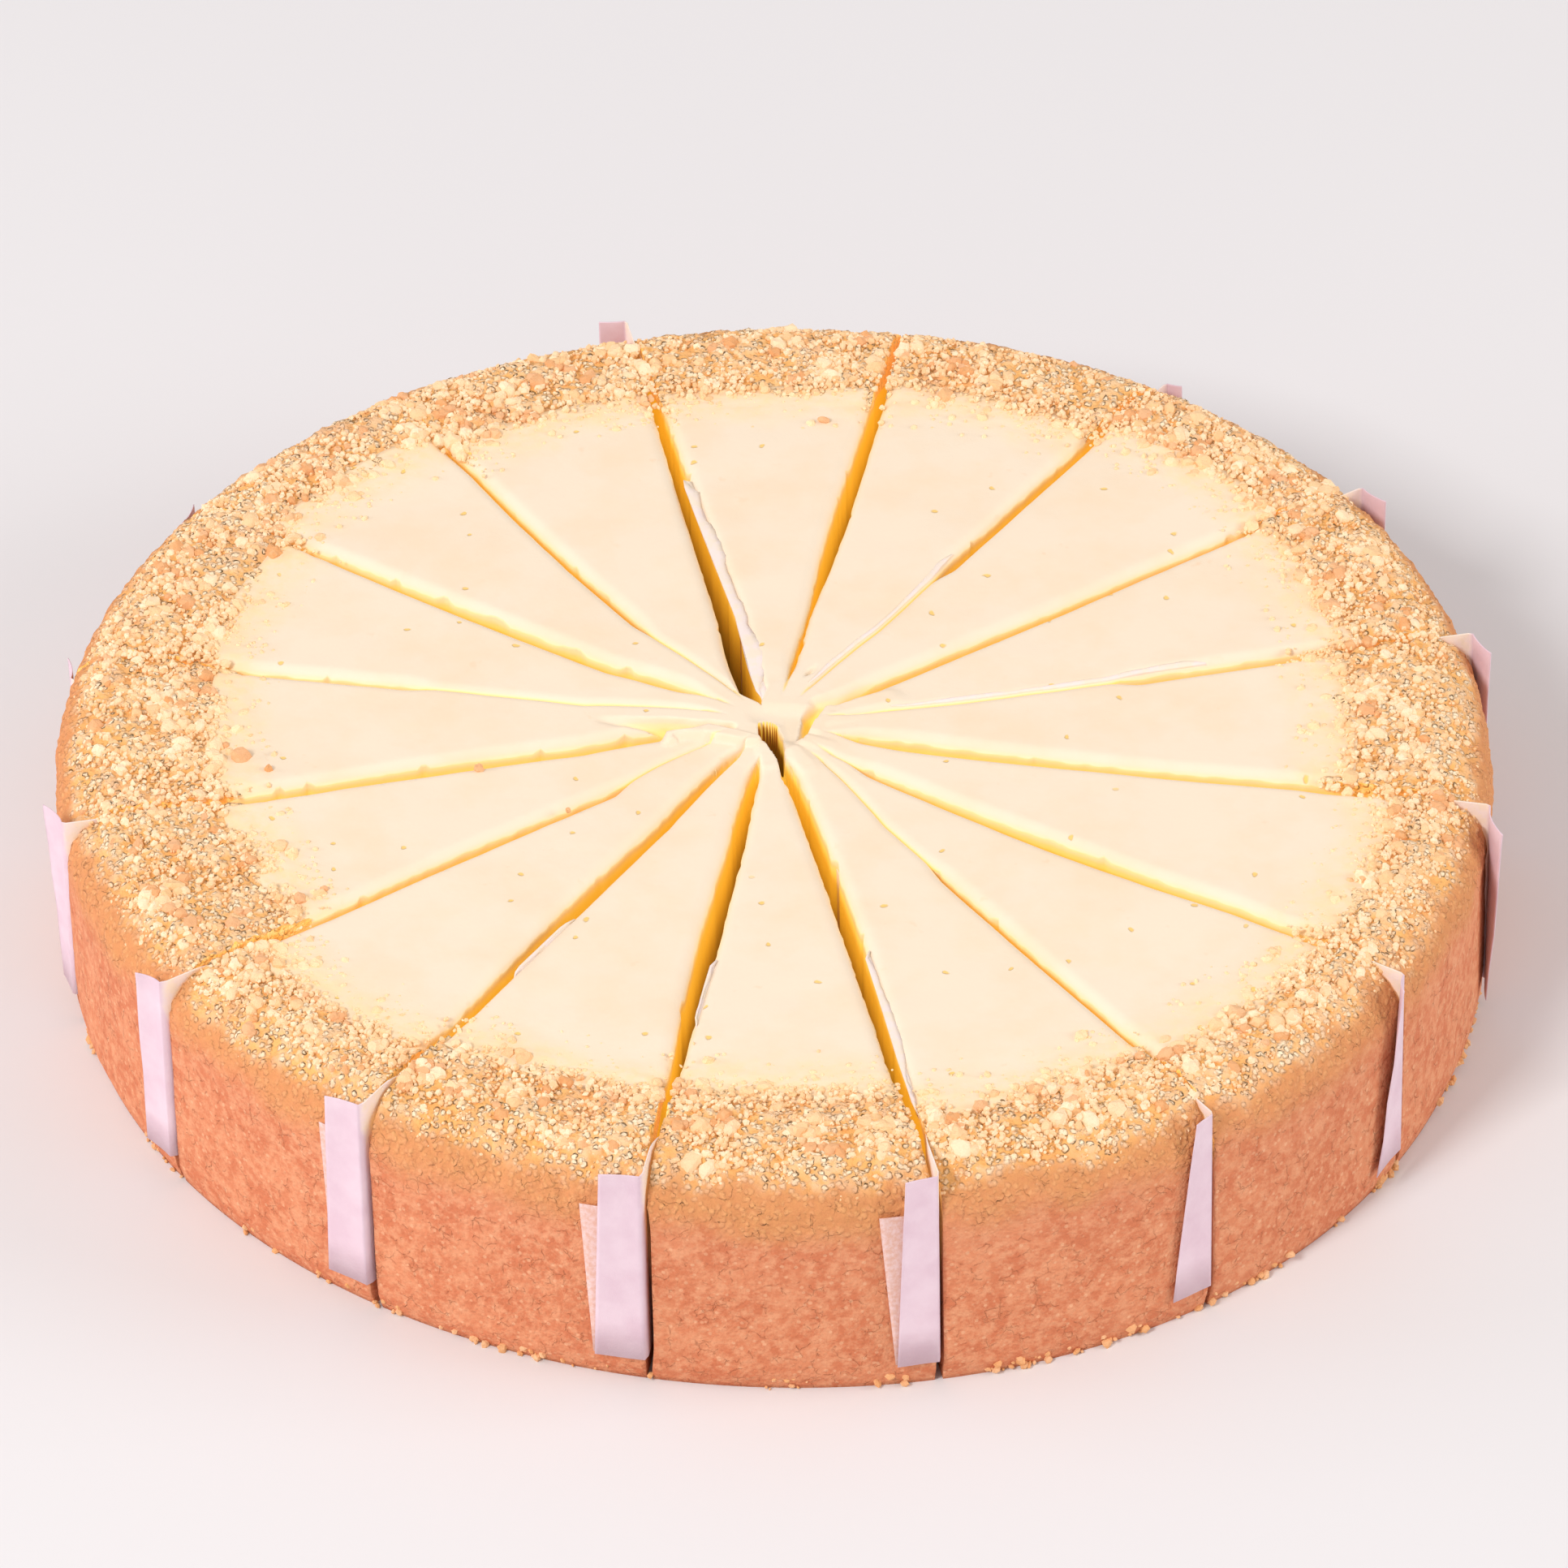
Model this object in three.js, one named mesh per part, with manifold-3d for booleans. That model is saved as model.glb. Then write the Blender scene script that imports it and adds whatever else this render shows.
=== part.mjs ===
// A baked cheesecake, cut into sixteen slices that still stand together, with a paper divider
// in every cut. Millimetres, +Z up, the origin at the middle of the underside. The front is -Y.
// Each slice is two bodies, its crumb crust and its cheese filling, and each divider is one more.

import * as THREE from 'three';
import Module from 'manifold-3d';

const wasm = await Module();
wasm.setup();

// Whole cake
const CAKE_RADIUS = 127;
const FOOT_RADIUS = 125.5;
const CHEESE_TOP = 44.6;
const RIM_TOP = 45.4;
const RIM_CORNER = 10.8;
const CLEARANCE = 0.35;

// The cuts meet a little off the middle of the outline, which is the origin.
const CUTS_MEET_AT = { x: -0.3, y: 1.2 };

// The tin lets go unevenly: each lobe swells the outline by `size` in its own directions.
const LOBES = [
  { count: 1, size: 0.9, at: -23 },
  { count: 2, size: 1.4, at: -56 },
  { count: 3, size: 1.0, at: 51 },
  { count: 4, size: 0.5, at: 43 },
];

// Crumb crust
const BASE_THICKNESS = 6;
const WALL_THICKNESS = 8;
const CAP_EDGE = 2.4;
const CAP_THICKNESS = 5;
const RELIEF = 0.55;
const BORDER_RIPPLE = 1.6;
const CRUMBS_PER_RING = 3;
const CRUMB_RINGS = 3;
const CRUMB_RADIUS = { least: 1.35, most: 2.3 };
const CRUMB_SUNK = 0.3;
const CRUMB_MARGIN = 0.6;

// Slices
const TIP_RADIUS = 3.2;
const TIP_GAP = 0.6;
const RIM_GAP = 1.05;
const GAP_OPENS_AT = 14;
const LEAN_FULL_RADIUS = 32;
const LEAN_ENDS_RADIUS = 94;
const SHOULDER_WIDTH = 2.2;
const SHOULDER_DROP = 1.1;
const COLUMNS = 7;
const STATIONS = [14, LEAN_FULL_RADIUS, 60, LEAN_ENDS_RADIUS];

// Cuts, clockwise from the one at the back left. `rim` is the cut's direction at the rim and
// `lean` how much it has turned near the middle, in degrees. `gap` is its width half-way out,
// and `border` is the radius where the crumb rim of the slice clockwise from it begins.
const CUTS = [
  { rim: 101.6, lean: 0.7, gap: 3.2, border: 99 },
  { rim: 78.2, lean: 0.3, gap: 3.1, border: 101.5 },
  { rim: 55.2, lean: 0.2, gap: 1.8, border: 106 },
  { rim: 33.0, lean: -0.5, gap: 1.6, border: 102.5 },
  { rim: 10.8, lean: -0.7, gap: 2.0, border: 99.5 },
  { rim: -12.0, lean: -1.5, gap: 2.1, border: 108.5 },
  { rim: -34.4, lean: -3.0, gap: 2.8, border: 109.5 },
  { rim: -56.2, lean: -0.3, gap: 1.1, border: 107 },
  { rim: -78.3, lean: 1.1, gap: 3.1, border: 102 },
  { rim: -100.5, lean: -1.0, gap: 3.7, border: 102 },
  { rim: -124.0, lean: -1.6, gap: 3.0, border: 107 },
  { rim: -146.7, lean: -1.3, gap: 2.1, border: 96 },
  { rim: -169.3, lean: -2.3, gap: 2.8, border: 96.5 },
  { rim: -191.9, lean: -1.1, gap: 1.1, border: 100 },
  { rim: -214.0, lean: 1.0, gap: 2.5, border: 105 },
  { rim: -235.8, lean: 3.2, gap: 1.2, border: 100 },
];

// Paper dividers, one per cut. A leaf turns along the side by `tail` at its top and `foot` at
// its lower edge, clockwise where positive. `splay` is how far its free edge stands off the
// side, and `top` its height. `under` describes the shorter leaf behind it, where one shows.
const PAPER_THICKNESS = 0.4;
const UNDER_THICKNESS = 0.36;
const UNDER_START = 60;
const PAPER_FOOT = 6;
const PAPER_START = 22;
const PAPER_WAVE = 0.35;
const PAPER_STEM_TOP = 44.2;
const MOUTH_REACH = 0.1;
const TAIL_CORNER = 0.45;
const FOOT_SPLAY = 0.3;
const PAPERS = [
  { tail: -5, foot: -5, splay: 0.8, top: 44.4 },
  { tail: 5, foot: 6, splay: 0.6, top: 33 },
  { tail: 3, foot: 5, splay: 0.8, top: 41.5 },
  { tail: 6, foot: 6, splay: 1.2, top: 43 },
  { tail: 6.5, foot: 8, splay: 1.8, top: 44 },
  { tail: 8, foot: 6.5, splay: 3.4, top: 44.2 },
  { tail: 4, foot: 9, splay: 2.2, top: 44.2 },
  { tail: 4, foot: 8, splay: 0.8, top: 43.4 },
  { tail: 5.8, foot: 7.4, splay: 0.9, top: 45.6, under: { tail: 10, foot: 7.6, top: 38.2 } },
  { tail: 7.2, foot: 9, splay: 0.9, top: 46, under: { tail: 11, foot: 9.4, top: 38 } },
  { tail: 6.6, foot: 8.4, splay: 1.2, top: 45.4, under: { tail: 9.4, foot: 8.2, top: 37.5 } },
  { tail: 5, foot: 7, splay: 2.2, top: 44.4, under: { tail: 8, foot: 6, top: 36 } },
  { tail: 6, foot: 6, splay: 2.4, top: 44 },
  { tail: 6, foot: 5, splay: 2.0, top: 38 },
  { tail: 6, foot: 6, splay: 1.6, top: 38.5 },
  { tail: 2.5, foot: 3, splay: 0.8, top: 39.5 },
];

const crustMaterial = new THREE.MeshStandardMaterial({ color: 0xe9a873, roughness: 0.9, metalness: 0 });
const cheeseMaterial = new THREE.MeshStandardMaterial({ color: 0xfde9ce, roughness: 0.45, metalness: 0 });
const paperMaterial = new THREE.MeshStandardMaterial({ color: 0xf4eef0, roughness: 0.7, metalness: 0 });

const radians = THREE.MathUtils.degToRad;
const clamp = THREE.MathUtils.clamp;

// Repeatable random numbers from 0 to 1.
function randomFrom(seed) {
  let state = seed * 7919 + 17;
  return () => {
    state = (state * 16807) % 2147483647;
    return state / 2147483647;
  };
}

// How much the outline swells in direction `angle`, as a factor on every radius.
function swell(angle) {
  const grown = LOBES.reduce(
    (sum, lobe) => sum + lobe.size * Math.cos(lobe.count * (angle - radians(lobe.at))), 0);
  return 1 + grown / CAKE_RADIUS;
}

// A point from its radius on a perfectly round cake, its direction and its height.
function place(radius, angle, height) {
  const r = radius * swell(angle);
  return new THREE.Vector3(r * Math.cos(angle), r * Math.sin(angle), height);
}

function cutAngle(index, radius) {
  const cut = CUTS[index % CUTS.length];
  const turns = index >= CUTS.length ? -360 : 0;
  const share = (LEAN_ENDS_RADIUS - radius) / (LEAN_ENDS_RADIUS - LEAN_FULL_RADIUS);
  return radians(cut.rim + turns + cut.lean * clamp(share, 0, 1));
}

// Width of a cut: it closes towards the tip and the rim and is widest half-way out.
function cutGap(index, radius) {
  const { gap } = CUTS[index % CUTS.length];
  const bell = Math.sin(Math.PI * Math.pow(clamp(radius / CAKE_RADIUS, 0, 1), 0.75));
  const full = RIM_GAP + (gap - RIM_GAP) * bell;
  const opening = clamp((radius - TIP_RADIUS) / (GAP_OPENS_AT - TIP_RADIUS), 0, 1);
  return TIP_GAP + (full - TIP_GAP) * opening;
}

// Direction of one column of a slice. The first and last columns are its cut faces and the
// next ones lie a shoulder's width inside them.
function columnAngle(slice, radius, column) {
  const first = cutAngle(slice, radius) - cutGap(slice, radius) / 2 / radius;
  const last = cutAngle(slice + 1, radius) + cutGap(slice + 1, radius) / 2 / radius;
  const width = (first - last) * radius;
  const shoulder = Math.min(SHOULDER_WIDTH, 0.3 * width);
  const middle = shoulder + (width - 2 * shoulder) * (column - 1) / (COLUMNS - 2);
  const offset = column === 0 ? 0 : column === COLUMNS ? width : middle;
  return first - offset / radius;
}

// Triangles over one cut face. A section starts with the stations of its lower edge and ends
// with those of its upper edge, and facing stations are joined so that the face follows the cut.
function cutFace(section) {
  const paired = STATIONS.length + 2;
  const last = section.length - 1;
  const triangles = [];
  for (let i = 0; i < paired - 1; i++) {
    triangles.push([i, i + 1, last - i - 1], [i, last - i - 1, last - i]);
  }
  const rest = section.slice(paired - 1, section.length - paired + 1);
  const outline = rest.map((p) => new THREE.Vector2(p.radius, p.height));
  for (const triangle of THREE.ShapeUtils.triangulateShape(outline, [])) {
    triangles.push(triangle.map((i) => i + paired - 1));
  }
  return triangles;
}

// Triangles between two neighbouring rows of a slice. A row is one section point in every
// column, or in the two outer columns only where the point is thin.
function strip(a, b, aThin, bThin, count) {
  const at = (row, column) => column * count + row;
  const triangles = [];
  if (aThin && bThin) {
    triangles.push([at(a, 0), at(b, 0), at(b, COLUMNS)], [at(a, 0), at(b, COLUMNS), at(a, COLUMNS)]);
    return triangles;
  }
  const middle = Math.floor(COLUMNS / 2);
  for (let column = 0; column < COLUMNS; column++) {
    const end = column < middle ? 0 : COLUMNS;
    if (aThin) {
      triangles.push([at(a, end), at(b, column), at(b, column + 1)]);
    } else if (bThin) {
      triangles.push([at(a, column), at(b, end), at(a, column + 1)]);
    } else {
      triangles.push([at(a, column), at(b, column), at(b, column + 1)]);
      triangles.push([at(a, column), at(b, column + 1), at(a, column + 1)]);
    }
  }
  if (aThin) {
    triangles.push([at(a, 0), at(b, middle), at(a, COLUMNS)]);
  } else if (bThin) {
    triangles.push([at(a, middle), at(b, 0), at(b, COLUMNS)]);
  }
  return triangles;
}

// A closed body from a section in radius and height that is carried from one cut face of a
// slice to the other. `sectionAt(column)` gives the section there, always with equal points.
function sliceBody(slice, sectionAt) {
  const positions = [];
  const sections = [];
  for (let column = 0; column <= COLUMNS; column++) {
    const section = sectionAt(column);
    sections.push(section);
    for (const { radius, height } of section) {
      positions.push(...place(radius, columnAngle(slice, radius, column), height));
    }
  }
  const count = sections[0].length;
  const index = [];
  for (let row = 0; row < count; row++) {
    const next = (row + 1) % count;
    const { [row]: here, [next]: there } = sections[0];
    index.push(...strip(row, next, here.thin, there.thin, count).flat());
  }
  const lastRow = COLUMNS * count;
  for (const [a, b, c] of cutFace(sections[0])) {
    index.push(a, c, b);
  }
  for (const [a, b, c] of cutFace(sections[COLUMNS])) {
    index.push(lastRow + a, lastRow + b, lastRow + c);
  }
  return closedGeometry(positions, index);
}

// An indexed geometry with its faces turned outwards.
function closedGeometry(positions, index) {
  let volume = 0;
  const corner = (i) => new THREE.Vector3().fromArray(positions, 3 * i);
  for (let i = 0; i < index.length; i += 3) {
    volume += corner(index[i]).dot(corner(index[i + 1]).cross(corner(index[i + 2])));
  }
  const outward = volume > 0 ? index : index.slice().reverse();
  const geometry = new THREE.BufferGeometry();
  geometry.setAttribute('position', new THREE.Float32BufferAttribute(positions, 3));
  geometry.setIndex(outward);
  return geometry;
}

function toManifold(geometry) {
  return new wasm.Manifold(new wasm.Mesh({
    numProp: 3,
    vertProperties: new Float32Array(geometry.attributes.position.array),
    triVerts: new Uint32Array(geometry.index.array),
  }));
}

function fromManifold(solid) {
  const mesh = solid.getMesh();
  const geometry = new THREE.BufferGeometry();
  geometry.setAttribute('position', new THREE.Float32BufferAttribute(mesh.vertProperties, 3));
  geometry.setIndex(new THREE.Uint32BufferAttribute(mesh.triVerts, 1));
  return geometry;
}

// The crumb border wanders a little along the slice.
function borderRadius(slice, column) {
  const random = randomFrom(100 + slice * COLUMNS + column);
  return CUTS[slice].border + BORDER_RIPPLE * (2 * random() - 1);
}

// A point of a section. A thin one is left out of the columns between the cut faces.
function point(radius, height, thin = false) {
  return { radius, height, thin };
}

// The part of a section that runs flat from the tip to the last station.
function flatRun(height) {
  return [TIP_RADIUS, ...STATIONS].map((radius) => point(radius, height, true));
}

// Section of the crumb crust: a base, a wall and a cap that turns in over the cheese.
function crustSection(slice, column) {
  const border = borderRadius(slice, column);
  const wall = CAKE_RADIUS - WALL_THICKNESS;
  const cornerRadius = CAKE_RADIUS - RIM_CORNER;
  const cornerHeight = RIM_TOP - RIM_CORNER;
  const random = randomFrom(500 + slice * COLUMNS + column);
  const rough = () => RELIEF * (2 * random() - 1);
  const foot = [...flatRun(0), point(border, 0)];
  const side = [point(FOOT_RADIUS, 0), point(CAKE_RADIUS - 0.4, 3.5), point(CAKE_RADIUS, 9)];
  const corner = [0, 30, 60, 85].map((angle) => {
    const reach = RIM_CORNER + (angle > 0 ? rough() : 0);
    const radius = cornerRadius + reach * Math.cos(radians(angle));
    return point(radius, cornerHeight + reach * Math.sin(radians(angle)));
  });
  const crown = [0.62, 0.3].map((share) =>
    point(border + (cornerRadius - border) * share, RIM_TOP + rough()));
  const cap = [
    point(border, CHEESE_TOP + 0.25),
    point(border + 0.6, RIM_TOP - CAP_EDGE),
    point(border + (wall - border) * 0.5, RIM_TOP - CAP_THICKNESS),
  ];
  const inside = [point(wall, RIM_TOP - CAP_THICKNESS - 3), point(wall, BASE_THICKNESS + 2)];
  const floor = [point(border, BASE_THICKNESS), ...flatRun(BASE_THICKNESS).reverse()];
  return [...foot, ...side, ...corner, ...crown, ...cap, ...inside, ...floor];
}

// Section of the cheese filling, clear of the crust all round. Its top edges along the cuts
// are drawn down into shoulders.
function cheeseSection(slice, column) {
  const border = borderRadius(slice, column);
  const wall = CAKE_RADIUS - WALL_THICKNESS;
  const edge = column === 0 || column === COLUMNS;
  const top = CHEESE_TOP - (edge ? SHOULDER_DROP : 0);
  const underside = BASE_THICKNESS + CLEARANCE;
  const floor = [...flatRun(underside), point(border, underside)];
  const outside = [
    point(wall - CLEARANCE, BASE_THICKNESS + 2 + CLEARANCE),
    point(wall - CLEARANCE, RIM_TOP - CAP_THICKNESS - 3 - CLEARANCE),
    point(border + (wall - border) * 0.5 - CLEARANCE, RIM_TOP - CAP_THICKNESS - CLEARANCE),
    point(border + 0.6 - CLEARANCE, RIM_TOP - CAP_EDGE - CLEARANCE),
    point(border - CLEARANCE, top),
  ];
  const surface = STATIONS.slice().reverse().map((radius) => point(radius, top));
  surface.push(point(TIP_RADIUS, CHEESE_TOP - SHOULDER_DROP, true));
  return [...floor, ...outside, ...surface];
}

function fillingBody(slice) {
  return sliceBody(slice, (column) => cheeseSection(slice, column));
}

// Height of the crumb rim above a radius, before its relief.
function rimHeight(radius) {
  const past = Math.max(0, radius - (CAKE_RADIUS - RIM_CORNER));
  return RIM_TOP - RIM_CORNER + Math.sqrt(RIM_CORNER * RIM_CORNER - past * past);
}

// One loose crumb: a small uneven lump, sunk a little into the rim.
function crumb(slice, radius, column, size, random) {
  const geometry = new THREE.IcosahedronGeometry(size, 0);
  geometry.deleteAttribute('normal');
  geometry.deleteAttribute('uv');
  const lump = weld(geometry);
  lump.scale(1, 0.75 + 0.3 * random(), 0.65 + 0.25 * random());
  lump.rotateX(Math.PI * random());
  lump.rotateZ(Math.PI * random());
  const centre = place(radius, columnAngle(slice, radius, column), rimHeight(radius) - CRUMB_SUNK * size);
  lump.translate(centre.x, centre.y, centre.z);
  return toManifold(lump);
}

// Merges the shared corners of a geometry that holds positions only.
function weld(geometry) {
  const source = geometry.attributes.position;
  const positions = [];
  const index = [];
  const seen = new Map();
  for (let i = 0; i < source.count; i++) {
    const corner = [source.getX(i), source.getY(i), source.getZ(i)];
    const key = corner.map((value) => value.toFixed(4)).join();
    if (!seen.has(key)) {
      seen.set(key, seen.size);
      positions.push(...corner);
    }
    index.push(seen.get(key));
  }
  return closedGeometry(positions, index);
}

function crustBody(slice) {
  let solid = toManifold(sliceBody(slice, (column) => crustSection(slice, column)));
  const random = randomFrom(900 + slice);
  const inner = CUTS[slice].border + 3.5;
  const outer = CAKE_RADIUS - 4;
  for (let ring = 0; ring < CRUMB_RINGS; ring++) {
    for (let i = 0; i < CRUMBS_PER_RING; i++) {
      const size = THREE.MathUtils.lerp(CRUMB_RADIUS.least, CRUMB_RADIUS.most, random());
      const radius = inner + (outer - inner) * (ring + 0.2 + 0.6 * random()) / CRUMB_RINGS;
      const margin = (size + CRUMB_MARGIN) * COLUMNS / (radius * radians(360 / CUTS.length));
      const share = (i + 0.15 + 0.7 * random()) / CRUMBS_PER_RING;
      const column = 1 + clamp(share * (COLUMNS - 2), margin, COLUMNS - 2 - margin);
      solid = solid.add(crumb(slice, radius, column, size, random));
    }
  }
  return fromManifold(solid);
}

// A sheet of paper set on edge. Each station has the middle of its lower and upper edge and
// the direction across the sheet.
function paperRibbon(stations, thickness) {
  const positions = [];
  for (const { low, high, across } of stations) {
    const half = across.clone().multiplyScalar(thickness / 2);
    positions.push(...low.clone().add(half), ...low.clone().sub(half));
    positions.push(...high.clone().sub(half), ...high.clone().add(half));
  }
  const index = [];
  for (let s = 0; s < stations.length - 1; s++) {
    for (let i = 0; i < 4; i++) {
      const a = 4 * s + i;
      const b = 4 * s + (i + 1) % 4;
      index.push(a, b, b + 4, a, b + 4, a + 4);
    }
  }
  const end = 4 * (stations.length - 1);
  index.push(0, 2, 1, 0, 3, 2);
  index.push(end, end + 1, end + 2, end, end + 2, end + 3);
  return closedGeometry(positions, index);
}

// A divider leaf: a stem that stands in the cut and a tail that turns along the side.
function leafStations(cut, start, { tail, foot, splay = 0, top }, standOff) {
  const stations = [];
  const stemEnd = CAKE_RADIUS + MOUTH_REACH + standOff;
  const stemRadii = [start, ...STATIONS.filter((radius) => radius > start + 5), stemEnd];
  const random = randomFrom(300 + cut);
  for (const radius of stemRadii) {
    const angle = cutAngle(cut, radius);
    const across = new THREE.Vector3(-Math.sin(angle), Math.cos(angle), 0);
    const crest = Math.min(top, PAPER_STEM_TOP + PAPER_WAVE * (2 * random() - 1));
    stations.push({ low: place(radius, angle, PAPER_FOOT), high: place(radius, angle, crest), across });
  }
  const mouth = cutAngle(cut, stemEnd);
  const turn = Math.sign(tail);
  const clear = CAKE_RADIUS + CLEARANCE + standOff + PAPER_THICKNESS / 2;
  for (const share of [0, 0.5, 1]) {
    const reach = (width) => (TAIL_CORNER + (Math.abs(width) - TAIL_CORNER) * share) * turn;
    const lowAngle = mouth - reach(foot) / CAKE_RADIUS;
    const highAngle = mouth - reach(tail) / CAKE_RADIUS;
    const lift = splay * share * share;
    const out = new THREE.Vector3(Math.cos(highAngle), Math.sin(highAngle), 0);
    const along = new THREE.Vector3(-Math.sin(highAngle), Math.cos(highAngle), 0).multiplyScalar(turn);
    const across = share > 0 ? out : out.clone().add(along).normalize();
    stations.push({
      low: place(clear + lift * FOOT_SPLAY, lowAngle, PAPER_FOOT),
      high: place(clear + lift, highAngle, top),
      across: across.multiplyScalar(turn),
    });
  }
  return stations;
}

function paperBody(cut) {
  const leaf = PAPERS[cut];
  const standOff = leaf.under ? PAPER_THICKNESS + CLEARANCE : 0;
  const front = paperRibbon(leafStations(cut, PAPER_START, leaf, standOff), PAPER_THICKNESS);
  if (!leaf.under) {
    return front;
  }
  const behind = paperRibbon(leafStations(cut, UNDER_START, leaf.under, 0), UNDER_THICKNESS);
  return fromManifold(toManifold(front).add(toManifold(behind)));
}

function addMesh(group, name, geometry, material) {
  const mesh = new THREE.Mesh(geometry, material);
  mesh.name = name;
  group.add(mesh);
}

const cake = new THREE.Group();
cake.position.set(CUTS_MEET_AT.x, CUTS_MEET_AT.y, 0);
for (let slice = 0; slice < CUTS.length; slice++) {
  const number = String(slice + 1).padStart(2, '0');
  addMesh(cake, `crust_${number}`, crustBody(slice), crustMaterial);
  addMesh(cake, `filling_${number}`, fillingBody(slice), cheeseMaterial);
  addMesh(cake, `paper_${number}`, paperBody(slice), paperMaterial);
}

export default cake;
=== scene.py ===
"""Looks of a baked cheesecake cut into sixteen slices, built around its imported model."""

import math

import bpy
import numpy as np
from mathutils import Matrix


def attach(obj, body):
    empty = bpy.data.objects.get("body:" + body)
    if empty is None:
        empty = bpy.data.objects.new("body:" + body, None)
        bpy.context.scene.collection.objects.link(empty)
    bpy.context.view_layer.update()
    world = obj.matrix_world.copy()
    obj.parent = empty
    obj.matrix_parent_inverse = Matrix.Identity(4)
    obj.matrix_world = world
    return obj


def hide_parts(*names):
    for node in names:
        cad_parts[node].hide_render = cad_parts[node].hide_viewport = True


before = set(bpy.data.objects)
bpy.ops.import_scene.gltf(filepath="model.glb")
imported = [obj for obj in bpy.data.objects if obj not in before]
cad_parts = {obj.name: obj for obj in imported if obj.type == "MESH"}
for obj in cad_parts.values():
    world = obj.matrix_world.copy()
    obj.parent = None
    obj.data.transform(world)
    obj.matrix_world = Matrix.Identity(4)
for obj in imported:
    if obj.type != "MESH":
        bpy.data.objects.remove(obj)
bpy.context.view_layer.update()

# Sizes are in millimetres until a mesh is made. These are the values of the part's source.
MM = 0.001
CAKE_RADIUS = 127.0
FOOT_RADIUS = 125.5
CHEESE_TOP = 44.6
RIM_TOP = 45.4
RIM_CORNER = 10.8
CLEARANCE = 0.35
BASE_THICKNESS = 6.0
WALL_THICKNESS = 8.0
CAP_EDGE = 2.4
CAP_THICKNESS = 5.0
TIP_RADIUS = 3.2
LEAN_FULL_RADIUS = 32.0
LEAN_ENDS_RADIUS = 94.0
CUTS_MEET_AT = np.array([-0.3, 1.2])
LOBES = ((1, 0.9, -23), (2, 1.4, -56), (3, 1.0, 51), (4, 0.5, 43))
SLICES = 16
CLUMP_REACH = 0.9

# Cuts, clockwise from the one at the back left: direction at the rim, turn towards the middle
# and extra curl at the tips in degrees, radius of the crumb border of the slice clockwise from
# it, radius inside which the cheese is smeared shut, whether crumbs bridge it at the rim, and
# widths at WIDTH_RADII.
WIDTH_RADII = (14, 25, 62, 100, 127)
CUT_VALUES = ("rim", "lean", "curl", "border", "shut", "is_bridged", "widths")
CUTS = [dict(zip(CUT_VALUES, values)) for values in (
    (101.6, 0.7, 5, 99, 5, False, (4.2, 4.9, 3.4, 2.0, 1.2)),
    (78.2, 0.3, 0, 101.5, 13, False, (0.7, 1.0, 3.1, 2.3, 1.2)),
    (55.2, 0.2, 4, 106, 50, True, (1.0, 1.2, 1.8, 1.7, 1.1)),
    (33.0, -0.5, 0, 102.5, 12, True, (1.6, 2.1, 1.6, 1.2, 1.0)),
    (10.8, -0.7, 2, 99.5, 60, True, (1.2, 1.4, 2.0, 2.0, 1.1)),
    (-12.0, -1.5, 0, 108.5, 10, True, (2.2, 3.0, 2.1, 2.2, 1.1)),
    (-34.4, -3.0, -2, 109.5, 15, True, (0.6, 1.5, 2.9, 1.9, 1.1)),
    (-56.2, -0.3, 6.5, 107, 45, False, (0.6, 0.7, 1.0, 0.9, 0.8)),
    (-78.3, 1.1, 0, 100, 8, False, (2.1, 2.6, 3.1, 2.4, 1.3)),
    (-100.5, -1.0, -3, 102, 8, False, (1.9, 2.6, 3.7, 1.7, 1.1)),
    (-124.0, -1.6, -5, 107, 5, False, (1.6, 2.0, 3.0, 1.7, 1.1)),
    (-146.7, -1.3, -10, 96, 28, False, (0.8, 1.2, 2.1, 1.5, 1.1)),
    (-169.3, -2.3, -7, 96.5, 8, True, (2.2, 2.5, 2.8, 2.3, 1.2)),
    (-191.9, -1.1, -10.5, 100, 60, True, (0.6, 0.8, 1.1, 1.1, 0.9)),
    (-214.0, 1.0, -8, 105, 13, True, (1.6, 2.2, 2.4, 1.4, 1.1)),
    (-235.8, 3.2, -5, 100, 33, True, (0.7, 0.8, 1.2, 0.9, 0.8)),
)]

# Where a cut is nipped together: its number, then the radius, how far along it and by how much
PINCHES = {1: (35, 9, 1.0)}

CURL_STARTS = 34.0
CURL_FULL = 12.5
SHUT_FADE = 7.0
SHUT_WIDTH = -0.06

# Shoulders of the cheese along an open cut and along one that is smeared shut
SHOULDER_WIDTH = 2.2
SHOULDER_DROP = 1.6
GROOVE_WIDTH = 1.7
GROOVE_DROP = 0.9

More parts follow.
